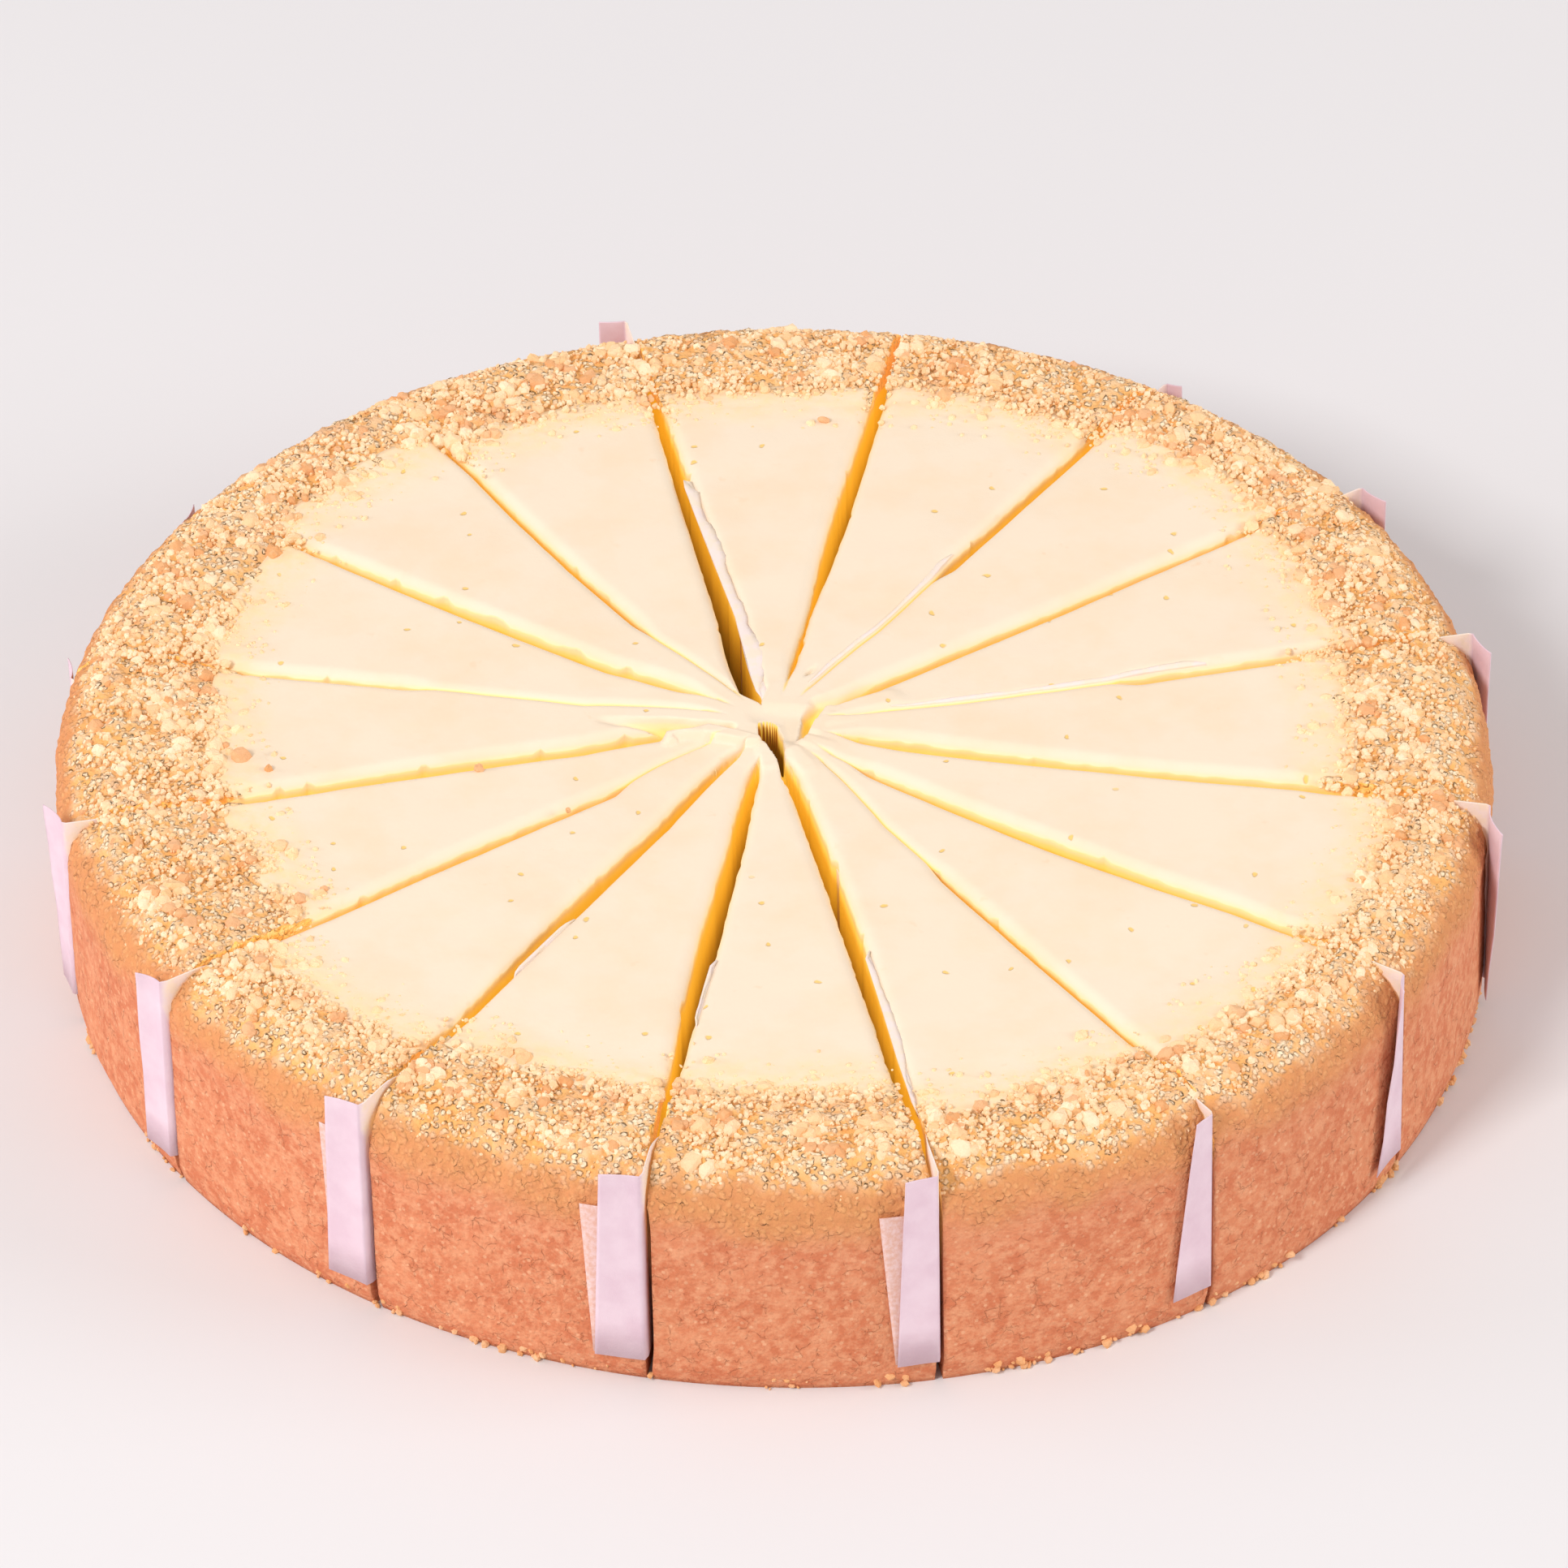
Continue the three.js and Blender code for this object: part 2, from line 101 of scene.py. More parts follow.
# Middle of the cake: a smeared patch, dug and raised along short strokes.
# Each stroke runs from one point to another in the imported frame. Its half-width and the height
# that it adds are given at both ends, with how many millimetres its sides take.
PATCH_RADIUS = 15.0
PATCH_FLOOR = 36.0
GAP_END_DEPTH = 7.0
GAP_EDGE = 0.12
STROKE_WANDER = 0.16
HOLE_CLEAR = 0.9
PATCH_LIFT = 0.05
PATCH_SUNK = 0.5
STROKE_VALUES = ("start", "end", "half", "adds", "side")
STROKES = [dict(zip(STROKE_VALUES, values)) for values in (
    # The hole and the channel that leaves it
    ((-1.3, 1.3), (-0.6, -2.2), (1.1, 1.6), (-34, -34), 0.6),
    ((-0.6, -2.2), (0.45, -5.8), (1.6, 0.75), (-34, -24), 0.6),
    ((0.45, -5.8), (1.2, -9.0), (0.6, 0.15), (-12, -4), 0.6),
    ((1.2, -9.0), (2.5, -13.5), (0.15, 0.7), (-3.2, -5), 0.8),
    # The smooth sunken cheese beside it
    ((-1.6, 4.4), (3.0, 3.0), (0.2, 1.0), (-0.7, -0.9), 3.6),
    ((3.0, 3.0), (3.0, -2.0), (1.0, 0.3), (-0.9, -0.9), 2.8),
    # Pockets where the cuts to the right and left run out
    ((4.5, -2.6), (6.2, 3.4), (0.1, 0.65), (-1.4, -3.4), 0.9),
    ((6.2, 3.4), (8.3, 7.4), (0.65, 0.4), (-3.4, -2.2), 1.3),
    ((8.3, 7.4), (17.0, 11.8), (0.4, 0.5), (-2.0, -1.2), 2.0),
    ((-7.9, 1.0), (-19.0, 2.4), (0.3, 0.7), (-2.8, -3.2), 1.3),
    ((-19.0, 2.4), (-30.0, 3.6), (0.7, 0.1), (-3.2, -0.4), 1.3),
    ((6.0, 16.2), (7.0, 17.4), (0.2, 0.2), (-1.1, -1.1), 0.6),
    # Raised tips, ridges and the ragged curl
    ((-1.9, -5.0), (-1.1, -9.5), (0.6, 1.1), (0.6, 0.3), 1.5),
    ((3.6, -6.4), (5.4, -11.0), (0.5, 1.2), (0.6, 0.3), 1.5),
    ((5.6, -3.6), (9.4, -5.2), (0.7, 0.7), (0.6, 0.2), 1.5),
    ((7.2, -0.6), (9.1, 6.0), (0.4, 0.6), (0.6, 0.6), 1.3),
    ((8.6, 2.4), (15.0, 3.6), (1.0, 0.6), (0.35, 0.1), 1.6),
    ((-3.4, -4.0), (-11.5, -1.6), (0.7, 1.0), (1.5, 2.0), 0.8),
    ((-11.5, -1.6), (-18.2, -0.8), (0.8, 1.2), (1.8, 2.1), 0.8),
    ((-18.0, -1.0), (-18.3, -3.2), (0.9, 0.6), (2.0, 1.5), 0.7),
    ((20.2, 8.2), (12.0, 6.4), (1.2, 1.0), (0.5, 0.2), 2.2),
)]

# Paper dividers, as in the part's source. `tail` and `foot` are how far the tail reaches along
# the side at its top and at its foot, `splay` is how far it stands out, and `top` its height.
# `wall` is the wall of the cut that the stem clings to, 1 for the clockwise one, and `start` the
# radius of its inner end. `shows` is the stretch of radii where the torn top edge comes up to
# the cheese. `lies` is the width of the strip of it that lies over the cheese's shoulder, and
# `inset` how far behind the wall it stands there. `under` is the tail, foot and top of a lower
# fold behind it.
PAPER_THICKNESS = 0.16
PAPER_FOOT = 6.0
PAPER_START = 22.0
PAPER_STEM_TOP = 42.0
PAPER_SHOWN_TOP = 44.35
PAPER_TEAR = 0.3
UNDER_START = 60.0
UNDER_OFFSET = 0.45
FOOT_SPLAY = 0.3
LEAF_VALUES = ("tail", "foot", "splay", "top", "wall")
LEAVES = [dict(zip(LEAF_VALUES, values), **more) for *values, more in (
    (-5, -5, 0.8, 44.4, 1, dict(start=7, shows=(8, 74), lies=3.0, inset=-1.5)),
    (5, 6, 0.6, 33, 1, {}),
    (3, 5, 0.8, 41.5, -1, dict(start=10, shows=(11, 58), lies=0.7, inset=0.5)),
    (6, 6, 1.2, 43, 1, {}),
    (6.5, 8, 1.8, 44, -1, dict(start=18, shows=(20, 78), lies=0.9, inset=0.5)),
    (8, 6.5, 3.4, 44.2, 1, {}),
    (4, 9, 2.2, 44.2, 1, {}),
    (4, 8, 0.8, 43.4, 1, {}),
    (5.8, 7.4, 0.9, 46.4, -1, dict(under=(10, 7.6, 38.2), shows=(66, 106), lies=1.6, inset=-0.7)),
    (7.2, 9, 0.9, 46, -1, dict(under=(11, 9.4, 38), shows=(68, 84), lies=0.5, inset=-0.25)),
    (6.6, 8.4, 1.2, 45.4, -1, dict(under=(9.4, 8.2, 37.5), shows=(66, 82), lies=0.5, inset=-0.25)),
    (5, 7, 2.2, 44.4, -1, dict(under=(8, 6, 36))),
    (6, 6, 2.4, 44, -1, {}),
    (6, 5, 2.0, 38, -1, {}),
    (6, 6, 1.6, 38.5, -1, {}),
    (2.5, 3, 0.8, 39.5, -1, {}),
)]

# Camera, from the photograph: it looks along +Y and down.
CAMERA_TARGET = (1.482, 9.681, 25.0)
CAMERA_DISTANCE = 2000.0
CAMERA_ELEVATION = 37.5
CAMERA_ROLL = -1.16
CAMERA_LENS = 259.57
SENSOR = 36.0

# Colours, as in the photograph
CREAM = (243, 225, 201)
CREAM_SMUDGE = (243, 220, 191)
CREAM_STAIN = (240, 200, 160)
CREAM_WARM = (255, 230, 184)
CREAM_GOLD = (252, 216, 146)
GOLD = (250, 214, 110)
BROWN = (214, 152, 40)
DARK = (170, 92, 24)
PIT = (250, 200, 92)
GLOW = (238, 200, 62)
GLOW_STRENGTH = 0.21
CRUMB_GLOW = (244, 196, 122)
GAP_GLOW = (244, 184, 104)
CRUMB_GLOW_STRENGTH = 0.1
GAP_GLOW_STRENGTH = 0.16
CUT_GLOW_STRENGTH = 0.25
CHEESE_EDGE = (252, 219, 174)
CRUMB_PALE = (250, 228, 196)
CRUMB_BODY = (236, 196, 153)
# Painted shade in the gaps between crumbs
CRUMB_GAP_SHADE = (232, 172, 104)
CRUMB_TOAST = (229, 177, 136)
SIDE_PALE = (229, 164, 106)
SIDE_BODY = (220, 140, 100)
SIDE_LIGHT = (228, 158, 118)
SIDE_DARK = (208, 122, 84)
SIDE_CRACK = (206, 118, 66)
SIDE_SPECK = (254, 214, 172)
SIDE_GRAIN = (222, 152, 102)
# Painted shade between the grains of the side
SIDE_GRAIN_SHADE = (206, 132, 80)
INSIDE_DEEP = (250, 190, 92)
INSIDE_PALE = (255, 220, 150)
PAPER = (222, 194, 206)
PAPER_PALE = (230, 206, 216)
PAPER_GREASY = (228, 176, 150)
PAPER_DAMP = (238, 204, 196)
PAPER_SMEAR = (248, 234, 222)
FLOOR_PALE = (226, 224, 225)
FLOOR_LIGHT = (229, 227, 228)

# Painted shade of the cheese down a cut: between two depths in millimetres it turns to each colour,
# warmer and then brown and dark deeper down
DEPTH_SHADE_COLOURS = (
    (0.7, 1.7, CREAM_WARM),
    (1.7, 2.8, CREAM_GOLD),
    (2.5, 4.2, GOLD),
    (7.0, 17.0, BROWN),
    (15.0, 30.0, DARK),
)

# Pale and deep colour of each kind of crumb
CRUMB_COLOURS = {
    "crumb_toasted": (CRUMB_TOAST, (222, 156, 102)),
    "crumb_pale": (CRUMB_PALE, (236, 192, 142)),
    "crumb_grain": ((248, 219, 182), (238, 188, 136)),
}


def linear(colour):
    """A 0 to 255 colour of the screen as the linear colour that shaders use."""
    shares = [value / 255 for value in colour]
    return tuple(s / 12.92 if s <= 0.04045 else ((s + 0.055) / 1.055) ** 2.4 for s in shares) + (1.0,)


# Repeatable noise

def smooth(low, high, value):
    """Rises from 0 at low to 1 at high, level at both ends."""
    share = np.clip((value - low) / (high - low), 0, 1)
    return share * share * (3 - 2 * share)


def cell_random(cells, seed):
    """A repeatable number from 0 to 1 for each row of whole numbers."""
    mixed = (cells[..., 0] * 73856093) ^ (cells[..., 1] * 19349663) ^ (cells[..., 2] * 83492791)
    mixed = (mixed ^ (seed * 2654435761)) & 0xFFFFFFFF
    mixed = ((mixed ^ (mixed >> 13)) * 1274126177) & 0xFFFFFFFF
    mixed = ((mixed ^ (mixed >> 15)) * 2246822519) & 0xFFFFFFFF
    return ((mixed ^ (mixed >> 16)) & 0xFFFFFF) / float(0xFFFFFF)


def noise(points, size, seed):
    """Smooth noise from -1 to 1, whose bumps are about `size` apart."""
    scaled = np.asarray(points, dtype=float) / size
    base = np.floor(scaled).astype(np.int64)
    share = scaled - base
    share = share * share * (3 - 2 * share)
    total = np.zeros(scaled.shape[:-1])
    for corner in np.ndindex(2, 2, 2):
        offset = np.array(corner)
        weight = np.prod(np.where(offset == 1, share, 1 - share), axis=-1)
        total += weight * cell_random(base + offset, seed)
    return 2 * total - 1


def clumps(points, size, seed):
    """Height from 0 to 1 of round lumps about `size` across, scattered through space."""
    scaled = np.asarray(points, dtype=float) / size
    base = np.floor(scaled).astype(np.int64)
    best = np.zeros(scaled.shape[:-1])
    for corner in np.ndindex(3, 3, 3):
        cell = base + np.array(corner) - 1
        middle = cell + np.stack([cell_random(cell, seed + i) for i in range(3)], axis=-1)
        reach = CLUMP_REACH * (0.45 + 0.55 * cell_random(cell, seed + 3))
        distance = np.sum((scaled - middle) ** 2, axis=-1)
        best = np.maximum(best, 1 - distance / reach ** 2)
    return np.clip(best, 0, 1)


# The cake's form

def swell(angle):
    """How much the outline swells in a direction, as a factor on every radius."""
    grown = sum(size * np.cos(count * (angle - math.radians(at))) for count, size, at in LOBES)
    return 1 + grown / CAKE_RADIUS


def place(radius, angle, height):
    """Points from radii on a perfectly round cake, directions and heights."""
    r = radius * swell(angle)
    x = CUTS_MEET_AT[0] + r * np.cos(angle)
    y = CUTS_MEET_AT[1] + r * np.sin(angle)
    return np.stack(np.broadcast_arrays(x, y, height), axis=-1)


def cut_angle(index, radius):
    """Direction of a cut's middle line at a radius."""
    cut = CUTS[index % SLICES]
    turns = -360 if index >= SLICES else 0
    lean = np.clip((LEAN_ENDS_RADIUS - radius) / (LEAN_ENDS_RADIUS - LEAN_FULL_RADIUS), 0, 1)
    curl = np.clip((CURL_STARTS - radius) / (CURL_STARTS - CURL_FULL), 0, 1) ** 1.2
    return np.radians(cut["rim"] + turns + cut["lean"] * lean + cut["curl"] * curl)


def openness(index, radius):
    """0 where a cut is smeared shut and 1 where it is open."""
    shut = CUTS[index % SLICES]["shut"]
    return smooth(shut, shut + SHUT_FADE, radius)


def cut_width(index, radius):
    """Width of a cut, which is less where it is nipped together or smeared shut."""
    number = index % SLICES
    wide = np.interp(radius, WIDTH_RADII, CUTS[number]["widths"])
    wide = wide * smooth(2, 12, radius)
    if number in PINCHES:
        at, reach, by = PINCHES[number]
        wide = wide - by * np.exp(-((radius - at) / reach) ** 2)
    return SHUT_WIDTH + (wide - SHUT_WIDTH) * openness(index, radius)


def shoulder_drop(index, radius, beside):
    """How far the cheese is drawn down at a distance from the edge of a cut."""
    is_open = openness(index, radius)
    width = GROOVE_WIDTH + (SHOULDER_WIDTH - GROOVE_WIDTH) * is_open
    width = width * np.clip(radius / 22, 0.45, 1)
    drop = GROOVE_DROP + (SHOULDER_DROP - GROOVE_DROP) * is_open
    share = np.clip(1 - beside / width, 0, 1)
    return drop * share ** 2.3


def stroke_height(points, clear=0.0):
    """Height that the strokes of the middle patch add at points of the plane.

    `clear` widens the hole, for what lies under the patch.
    """
    raised = np.zeros(len(points))
    dug = np.zeros(len(points))
    uneven = STROKE_WANDER * noise(np.column_stack([points, np.full(len(points), 9.0)]), 1.6, 8)
    for stroke in STROKES:
        start = np.array(stroke["start"])
        along = np.array(stroke["end"]) - start
        share = np.clip((points - start) @ along / (along @ along), 0, 1)
        distance = np.linalg.norm(points - start - share[:, None] * along, axis=1)
        half = stroke["half"][0] + (stroke["half"][1] - stroke["half"][0]) * share
        half = half + clear * (stroke["adds"][0] < -10)
        adds = stroke["adds"][0] + (stroke["adds"][1] - stroke["adds"][0]) * share
        shape = 1 - smooth(0, 1, (distance + uneven - half) / stroke["side"])
        raised = np.maximum(raised, adds * shape)
        dug = np.minimum(dug, adds * shape)
    return raised + dug


def from_cut(index, radius, angle):
    """Distance from a cut's middle line."""
    off = (angle - cut_angle(index, radius) + math.pi) % (2 * math.pi) - math.pi
    return np.abs(off) * radius


def cheese_height(radius, angle, clear=0.0, has_gaps=True):
    """Height of the cheese over arrays of radii and directions, and how far it is drawn down."""
    shape = np.broadcast(radius, angle).shape
    points = place(radius, angle, 0.0).reshape(-1, 3)
    radius = np.broadcast_to(radius, shape).ravel()
    angle = np.broadcast_to(angle, shape).ravel()
    drop = np.zeros(len(points))
    for index in range(SLICES):
        beside = from_cut(index, radius, angle) - cut_width(index, radius) / 2
        fade = openness(index, radius) + (1 - openness(index, radius)) * smooth(8, 15, radius)
        drop = np.maximum(drop, fade * shoulder_drop(index, radius, np.maximum(beside, 0)))
        gap = np.clip(-beside / GAP_EDGE, 0, 1) * openness(index, radius) * has_gaps
        floor = GAP_END_DEPTH + (PATCH_FLOOR - GAP_END_DEPTH) * smooth(9.5, 15, radius)
        drop = np.where(radius < PATCH_RADIUS + 1, np.maximum(drop, gap * floor), drop)
    strokes = stroke_height(points[:, :2], clear)
    wave = 0.16 * noise(points, 17, 5) + 0.07 * noise(points, 5, 6)
    height = CHEESE_TOP + wave - drop + strokes
    return height.reshape(shape), np.maximum(drop, drop - strokes).reshape(shape)


def shut_line(radius, angle):
    """1 along the line where a cut is smeared shut, for arrays of radii and directions."""
    line = np.zeros(radius.shape)
    for index in range(SLICES):
        near = smooth(0.5, 0.1, from_cut(index, radius, angle)) * smooth(8, 12, radius)
        line = np.maximum(line, near * (1 - openness(index, radius)))
    return line


# Meshes

def make_piece(name, points, faces, material, stands_for=(), values=(), is_smooth=True):
    """A mesh piece from points in millimetres and arrays of faces, one array for each count."""
    mesh = bpy.data.meshes.new(name)
    corners = np.concatenate([np.ravel(group) for group in faces]).astype(np.int32)
    sizes = np.concatenate([np.full(len(group), group.shape[1]) for group in faces])
    starts = np.concatenate([[0], np.cumsum(sizes)[:-1]]).astype(np.int32)
    mesh.vertices.add(len(points))
    mesh.vertices.foreach_set("co", (np.asarray(points) * MM).astype(np.float32).ravel())
    mesh.loops.add(len(corners))
    mesh.loops.foreach_set("vertex_index", corners)
    mesh.polygons.add(len(starts))
    mesh.polygons.foreach_set("loop_start", starts)
    mesh.update(calc_edges=True)
    mesh.polygons.foreach_set("use_smooth", np.full(len(starts), is_smooth))
    for label, amounts in dict(values).items():
        attribute = mesh.attributes.new(label, "FLOAT", "POINT")
        attribute.data.foreach_set("value", np.asarray(amounts, dtype=np.float32).ravel())
    mesh.materials.append(material)
    piece = bpy.data.objects.new(name, mesh)
    bpy.context.collection.objects.link(piece)
    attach(piece, "root")
    if stands_for:
        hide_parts(*stands_for)
    return piece


def tube_faces(rings, around):
    """Quads between neighbouring closed rings of points, numbered ring by ring."""
    ring = np.arange(rings - 1)[:, None] * around
    here = np.arange(around)[None, :]
    after = (here + 1) % around
    quads = np.stack([ring + here, ring + after, ring + around + after, ring + around + here], -1)
    return quads.reshape(-1, 4)


def ring_ends(rings, around):
    """The two faces that close a tube of rings at its ends."""
    ring = np.arange(around)[None, :]
    return [ring[:, ::-1], ring + (rings - 1) * around]


def grid_faces(rows, columns):
    """Quads of an open grid of points, numbered row by row."""
    row = np.arange(rows - 1)[:, None] * columns
    here = np.arange(columns - 1)[None, :]
    quads = np.stack([row + here, row + here + 1, row + columns + here + 1, row + columns + here], -1)
    return quads.reshape(-1, 4)


def outward(points, faces):
    """Faces turned so that the closed mesh they make has a positive volume."""
    volume = 0.0
    for group in faces:
        for i in range(1, group.shape[1] - 1):
            a, b, c = points[group[:, 0]], points[group[:, i]], points[group[:, i + 1]]
            volume += np.einsum("ij,ij->", a, np.cross(b, c))
    return faces if volume > 0 else [group[:, ::-1] for group in faces]


# Cheese filling

FILLING_ROWS = 128
WALL_DEPTHS = (0.5, 1.3, 2.6, 4.5, 8.0, 16.0)
SHOULDER_SHARES = (0, 0.04, 0.12, 0.24, 0.4, 0.58, 0.78, 1.0)
SHOULDER_REACH = 3.3
MIDDLE_COLUMNS = 13
EDGE_WANDER = 0.14
NICK_RARITY = 0.62
NICK_DEPTH = 2.2
# Painted shade along the edges of each slice's top, as extra depth for the colours
ARRIS_SHADE_DEPTH = 0.8
BORDER_LUMPS = 0.4
# Painted shade along a cut smeared shut, as extra depth for the colours, and the share of it in each
# column from the edge
SHUT_LINE_SHADE_DEPTH = 2.1
SHUT_LINE_REACH = (1.0, 0.9, 0.35)
FILLING_FLOOR = BASE_THICKNESS + CLEARANCE


def filling_radii(border):
    """Radii of a filling's rows: even over the cheese, then down under the crumb cap."""
    inner = np.linspace(TIP_RADIUS, border + 3.6, FILLING_ROWS - 5)
    wall = CAKE_RADIUS - WALL_THICKNESS - CLEARANCE
    outer = np.array([border + 4.2, border + (wall - border) * 0.6, wall - 1, wall - 0.05, wall])
    return np.concatenate([inner, outer])


def under_cap(radius, border):
    """Greatest height of the filling where the crumb cap lies over it."""
    wall = CAKE_RADIUS - WALL_THICKNESS - CLEARANCE
    at = (border + 3.6, border + 4.2, border + (wall - border) * 0.6, wall - 0.05, wall)
    lip = RIM_TOP - CAP_EDGE - 0.4
    under = RIM_TOP - CAP_THICKNESS - 0.4
    return np.interp(radius, at, (99, lip, under, under - 3.0, 12))


def row_spots(radii, row):
    """Places along a row of a plane, for noise that runs along one cut."""
    return np.stack([radii, np.full_like(radii, row), np.zeros_like(radii)], -1)


def ragged(index, side, radius):
    """Small wander of one edge of a cut, with a few nicks."""
    spots = row_spots(radius, 31.0 * index + 7 * side)
    fine = noise(spots, 1.6, 21) * EDGE_WANDER
    nicks = np.clip(noise(spots, 2.6, 22) - NICK_RARITY, 0, 1) * NICK_DEPTH
    return (fine + nicks * smooth(14, 22, radius)) * openness(index, radius)


def slice_edges(index, radius):
    """Directions of a slice's two cut faces."""
    back = cut_width(index, radius) / 2 + ragged(index, 0, radius)
    ahead = cut_width(index + 1, radius) / 2 + ragged(index + 1, 1, radius)
    return cut_angle(index, radius) - back / radius, cut_angle(index + 1, radius) + ahead / radius


def filling_piece(index, material):
    border = CUTS[index]["border"]
    radii = filling_radii(border)
    first, last = slice_edges(index, radii)
    wide = (first - last) * radii
    reach = np.minimum(SHOULDER_REACH, 0.36 * wide)
    shares = [reach * s for s in SHOULDER_SHARES]
    inner = [reach + (wide - 2 * reach) * s for s in np.linspace(0, 1, MIDDLE_COLUMNS)[1:-1]]
    across = np.stack(shares + inner + [wide - s for s in reversed(shares)], axis=1)
    angle = first[:, None] - across / radii[:, None]
    radius = np.broadcast_to(radii[:, None], angle.shape)
    top, drop = cheese_height(radius, angle, HOLE_CLEAR)
    top = top - PATCH_SUNK * (1 - smooth(PATCH_RADIUS - 5, PATCH_RADIUS - 3.5, radius))
    spots = place(radius, angle, 0.0)
    near = smooth(border - 10, border + 1, radius + 2.5 * noise(spots, 5, 75))
    top = top + BORDER_LUMPS * near * clumps(spots, 2.3, 76)
    top = np.minimum(top, under_cap(radius, border))
    top = np.maximum(top, FILLING_FLOOR + 1)
    left = wall_points(radii, angle[:, 0], top[:, 0])
    right = wall_points(radii, angle[:, -1], top[:, -1])
    rings = np.concatenate([left[:, ::-1], place(radius, angle, top), right], axis=1)
    # Painted shade: the edges of the top and the lines where cuts are smeared shut take colours from a
    # greater depth
    drop[:, [0, -1]] += ARRIS_SHADE_DEPTH
    for column, share in enumerate(SHUT_LINE_REACH):
        drop[:, column] += SHUT_LINE_SHADE_DEPTH * share * (1 - openness(index, radii))
        drop[:, -1 - column] += SHUT_LINE_SHADE_DEPTH * share * (1 - openness(index + 1, radii))
    down_left, down_right = CHEESE_TOP - left[:, ::-1, 2], CHEESE_TOP - right[..., 2]
    depth = np.concatenate([down_left, drop, down_right], axis=1)
    near = np.pad(near, ((0, 0), (left.shape[1], right.shape[1])), mode="edge")
    points = rings.reshape(-1, 3)
    count, around = rings.shape[:2]
    faces = outward(points, [tube_faces(count, around)] + ring_ends(count, around))
    name = f"{index + 1:02d}"
    return make_piece(f"cheese_{name}", points, faces, material,
                      [f"filling_{name}"], {"depth": depth, "near": near})


def wall_points(radii, angles, tops):
    """Points down one cut face of a filling, for each of its rows."""
    heights = [np.maximum(tops - depth, FILLING_FLOOR + 0.5) for depth in WALL_DEPTHS]
    heights.append(np.full_like(tops, FILLING_FLOOR))
    return np.stack([place(radii, angles, height) for height in heights], axis=1)


# Smeared patch over the tips of the slices

PATCH_RINGS = 52
PATCH_SPOKES = 300

# Painted shade in the pockets and the hole: their colours are taken from a greater depth than the true
# one
POCKET_SHADE_DEPTH = 1.0
HOLE_SHADE_DEPTH = 300.0


def patch_piece(material):
    radii = np.concatenate([[0.02], np.linspace(0.35, PATCH_RADIUS, PATCH_RINGS)])
    spokes = np.linspace(0, 2 * math.pi, PATCH_SPOKES, endpoint=False)
    radius, angle = np.meshgrid(radii, spokes, indexing="ij")
    top, drop = cheese_height(radius, angle)
    lift = PATCH_LIFT - 0.15 * smooth(PATCH_RADIUS - 3, PATCH_RADIUS, radius)
    upper = place(radius, angle, top + lift)
    lower = place(radius, angle, np.minimum(top - 1.0, CHEESE_TOP - PATCH_FLOOR - 1.5))
    points = np.concatenate([upper.reshape(-1, 3), lower.reshape(-1, 3)])
    rings, around = radius.shape
    count = rings * around
    top_faces = tube_faces(rings, around)
    rim = np.arange(around) + (rings - 1) * around
    after = np.roll(rim, -1)
    skirt = np.stack([rim, after, after + count, rim + count], -1)
    quads = np.concatenate([top_faces, top_faces[:, ::-1] + count, skirt])
    faces = outward(points, [quads] + ring_ends(rings + 1, around))
    dug = -stroke_height(upper.reshape(-1, 3)[:, :2]).reshape(radius.shape)
    # Painted shade: the pockets turn golden and the hole dark brown
    drop = drop + POCKET_SHADE_DEPTH * smooth(1.2, 3.0, dug) + HOLE_SHADE_DEPTH * smooth(4, 20, dug)
    # Painted shade along the lines where cuts are smeared shut
    drop = drop + SHUT_LINE_SHADE_DEPTH * shut_line(radius, angle)
    depth = np.concatenate([drop.ravel(), np.full(count, 6.0)])
    return make_piece("cheese_smear", points, faces, material,
                      values={"depth": depth})


# Crumb crust

CRUST_COLUMNS = 66
CRUST_STEP = 0.62
SIDE_STEP = 1.15
RIM_CRAGS = 1.45
RIM_SUNK = 0.95
SIDE_LUMPS = 0.28
BORDER_WANDER = 2.2
CRUMB_LINE = 42.4


def even_path(corners, step):
    """Points about `step` apart along straight lines between corners, without the last one."""
    made = []
    for (r0, z0), (r1, z1) in zip(corners[:-1], corners[1:]):
        count = max(1, int(round(math.hypot(r1 - r0, z1 - z0) / step)))
        made += [(r0 + (r1 - r0) * i / count, z0 + (z1 - z0) * i / count) for i in range(count)]
    return made


def crust_section(border):
    """Section of a slice's crust: the rim and side in small steps, then the hidden faces."""
    corner = CAKE_RADIUS - RIM_CORNER
    arc = [(corner + RIM_CORNER * math.cos(t), RIM_TOP - RIM_CORNER + RIM_CORNER * math.sin(t))
           for t in np.linspace(math.pi / 2, 0, 28)]
    lip = [(border, CHEESE_TOP - 0.9), (border + 2.4, CHEESE_TOP), (border + 6, RIM_TOP - 0.1)]
    rim = even_path(lip + [arc[0]], CRUST_STEP) + arc[:-1]
    down = [arc[-1], (CAKE_RADIUS, 9), (CAKE_RADIUS - 0.4, 3.5), (FOOT_RADIUS, 0.0)]
    side = even_path(down, SIDE_STEP)
    wall = CAKE_RADIUS - WALL_THICKNESS
    along = (border, 60.0, LEAN_FULL_RADIUS, TIP_RADIUS)
    bottom = [(FOOT_RADIUS, 0.0)] + [(radius, 0.0) for radius in along]
    base = [(radius, BASE_THICKNESS) for radius in reversed(along)]
    inside = [(wall, BASE_THICKNESS + 2), (wall, RIM_TOP - CAP_THICKNESS - 3)]
    cap = [((border + wall) / 2, RIM_TOP - CAP_THICKNESS), (border + 0.6, RIM_TOP - CAP_EDGE)]
    return np.array(rim + side), np.array(bottom + base + inside + cap)


def path_normals(path):
    """Outward directions across a path that runs outwards and then down."""
    along = np.gradient(path, axis=0)
    across = np.stack([-along[:, 1], along[:, 0]], axis=1)
    return across / np.linalg.norm(across, axis=1)[:, None]


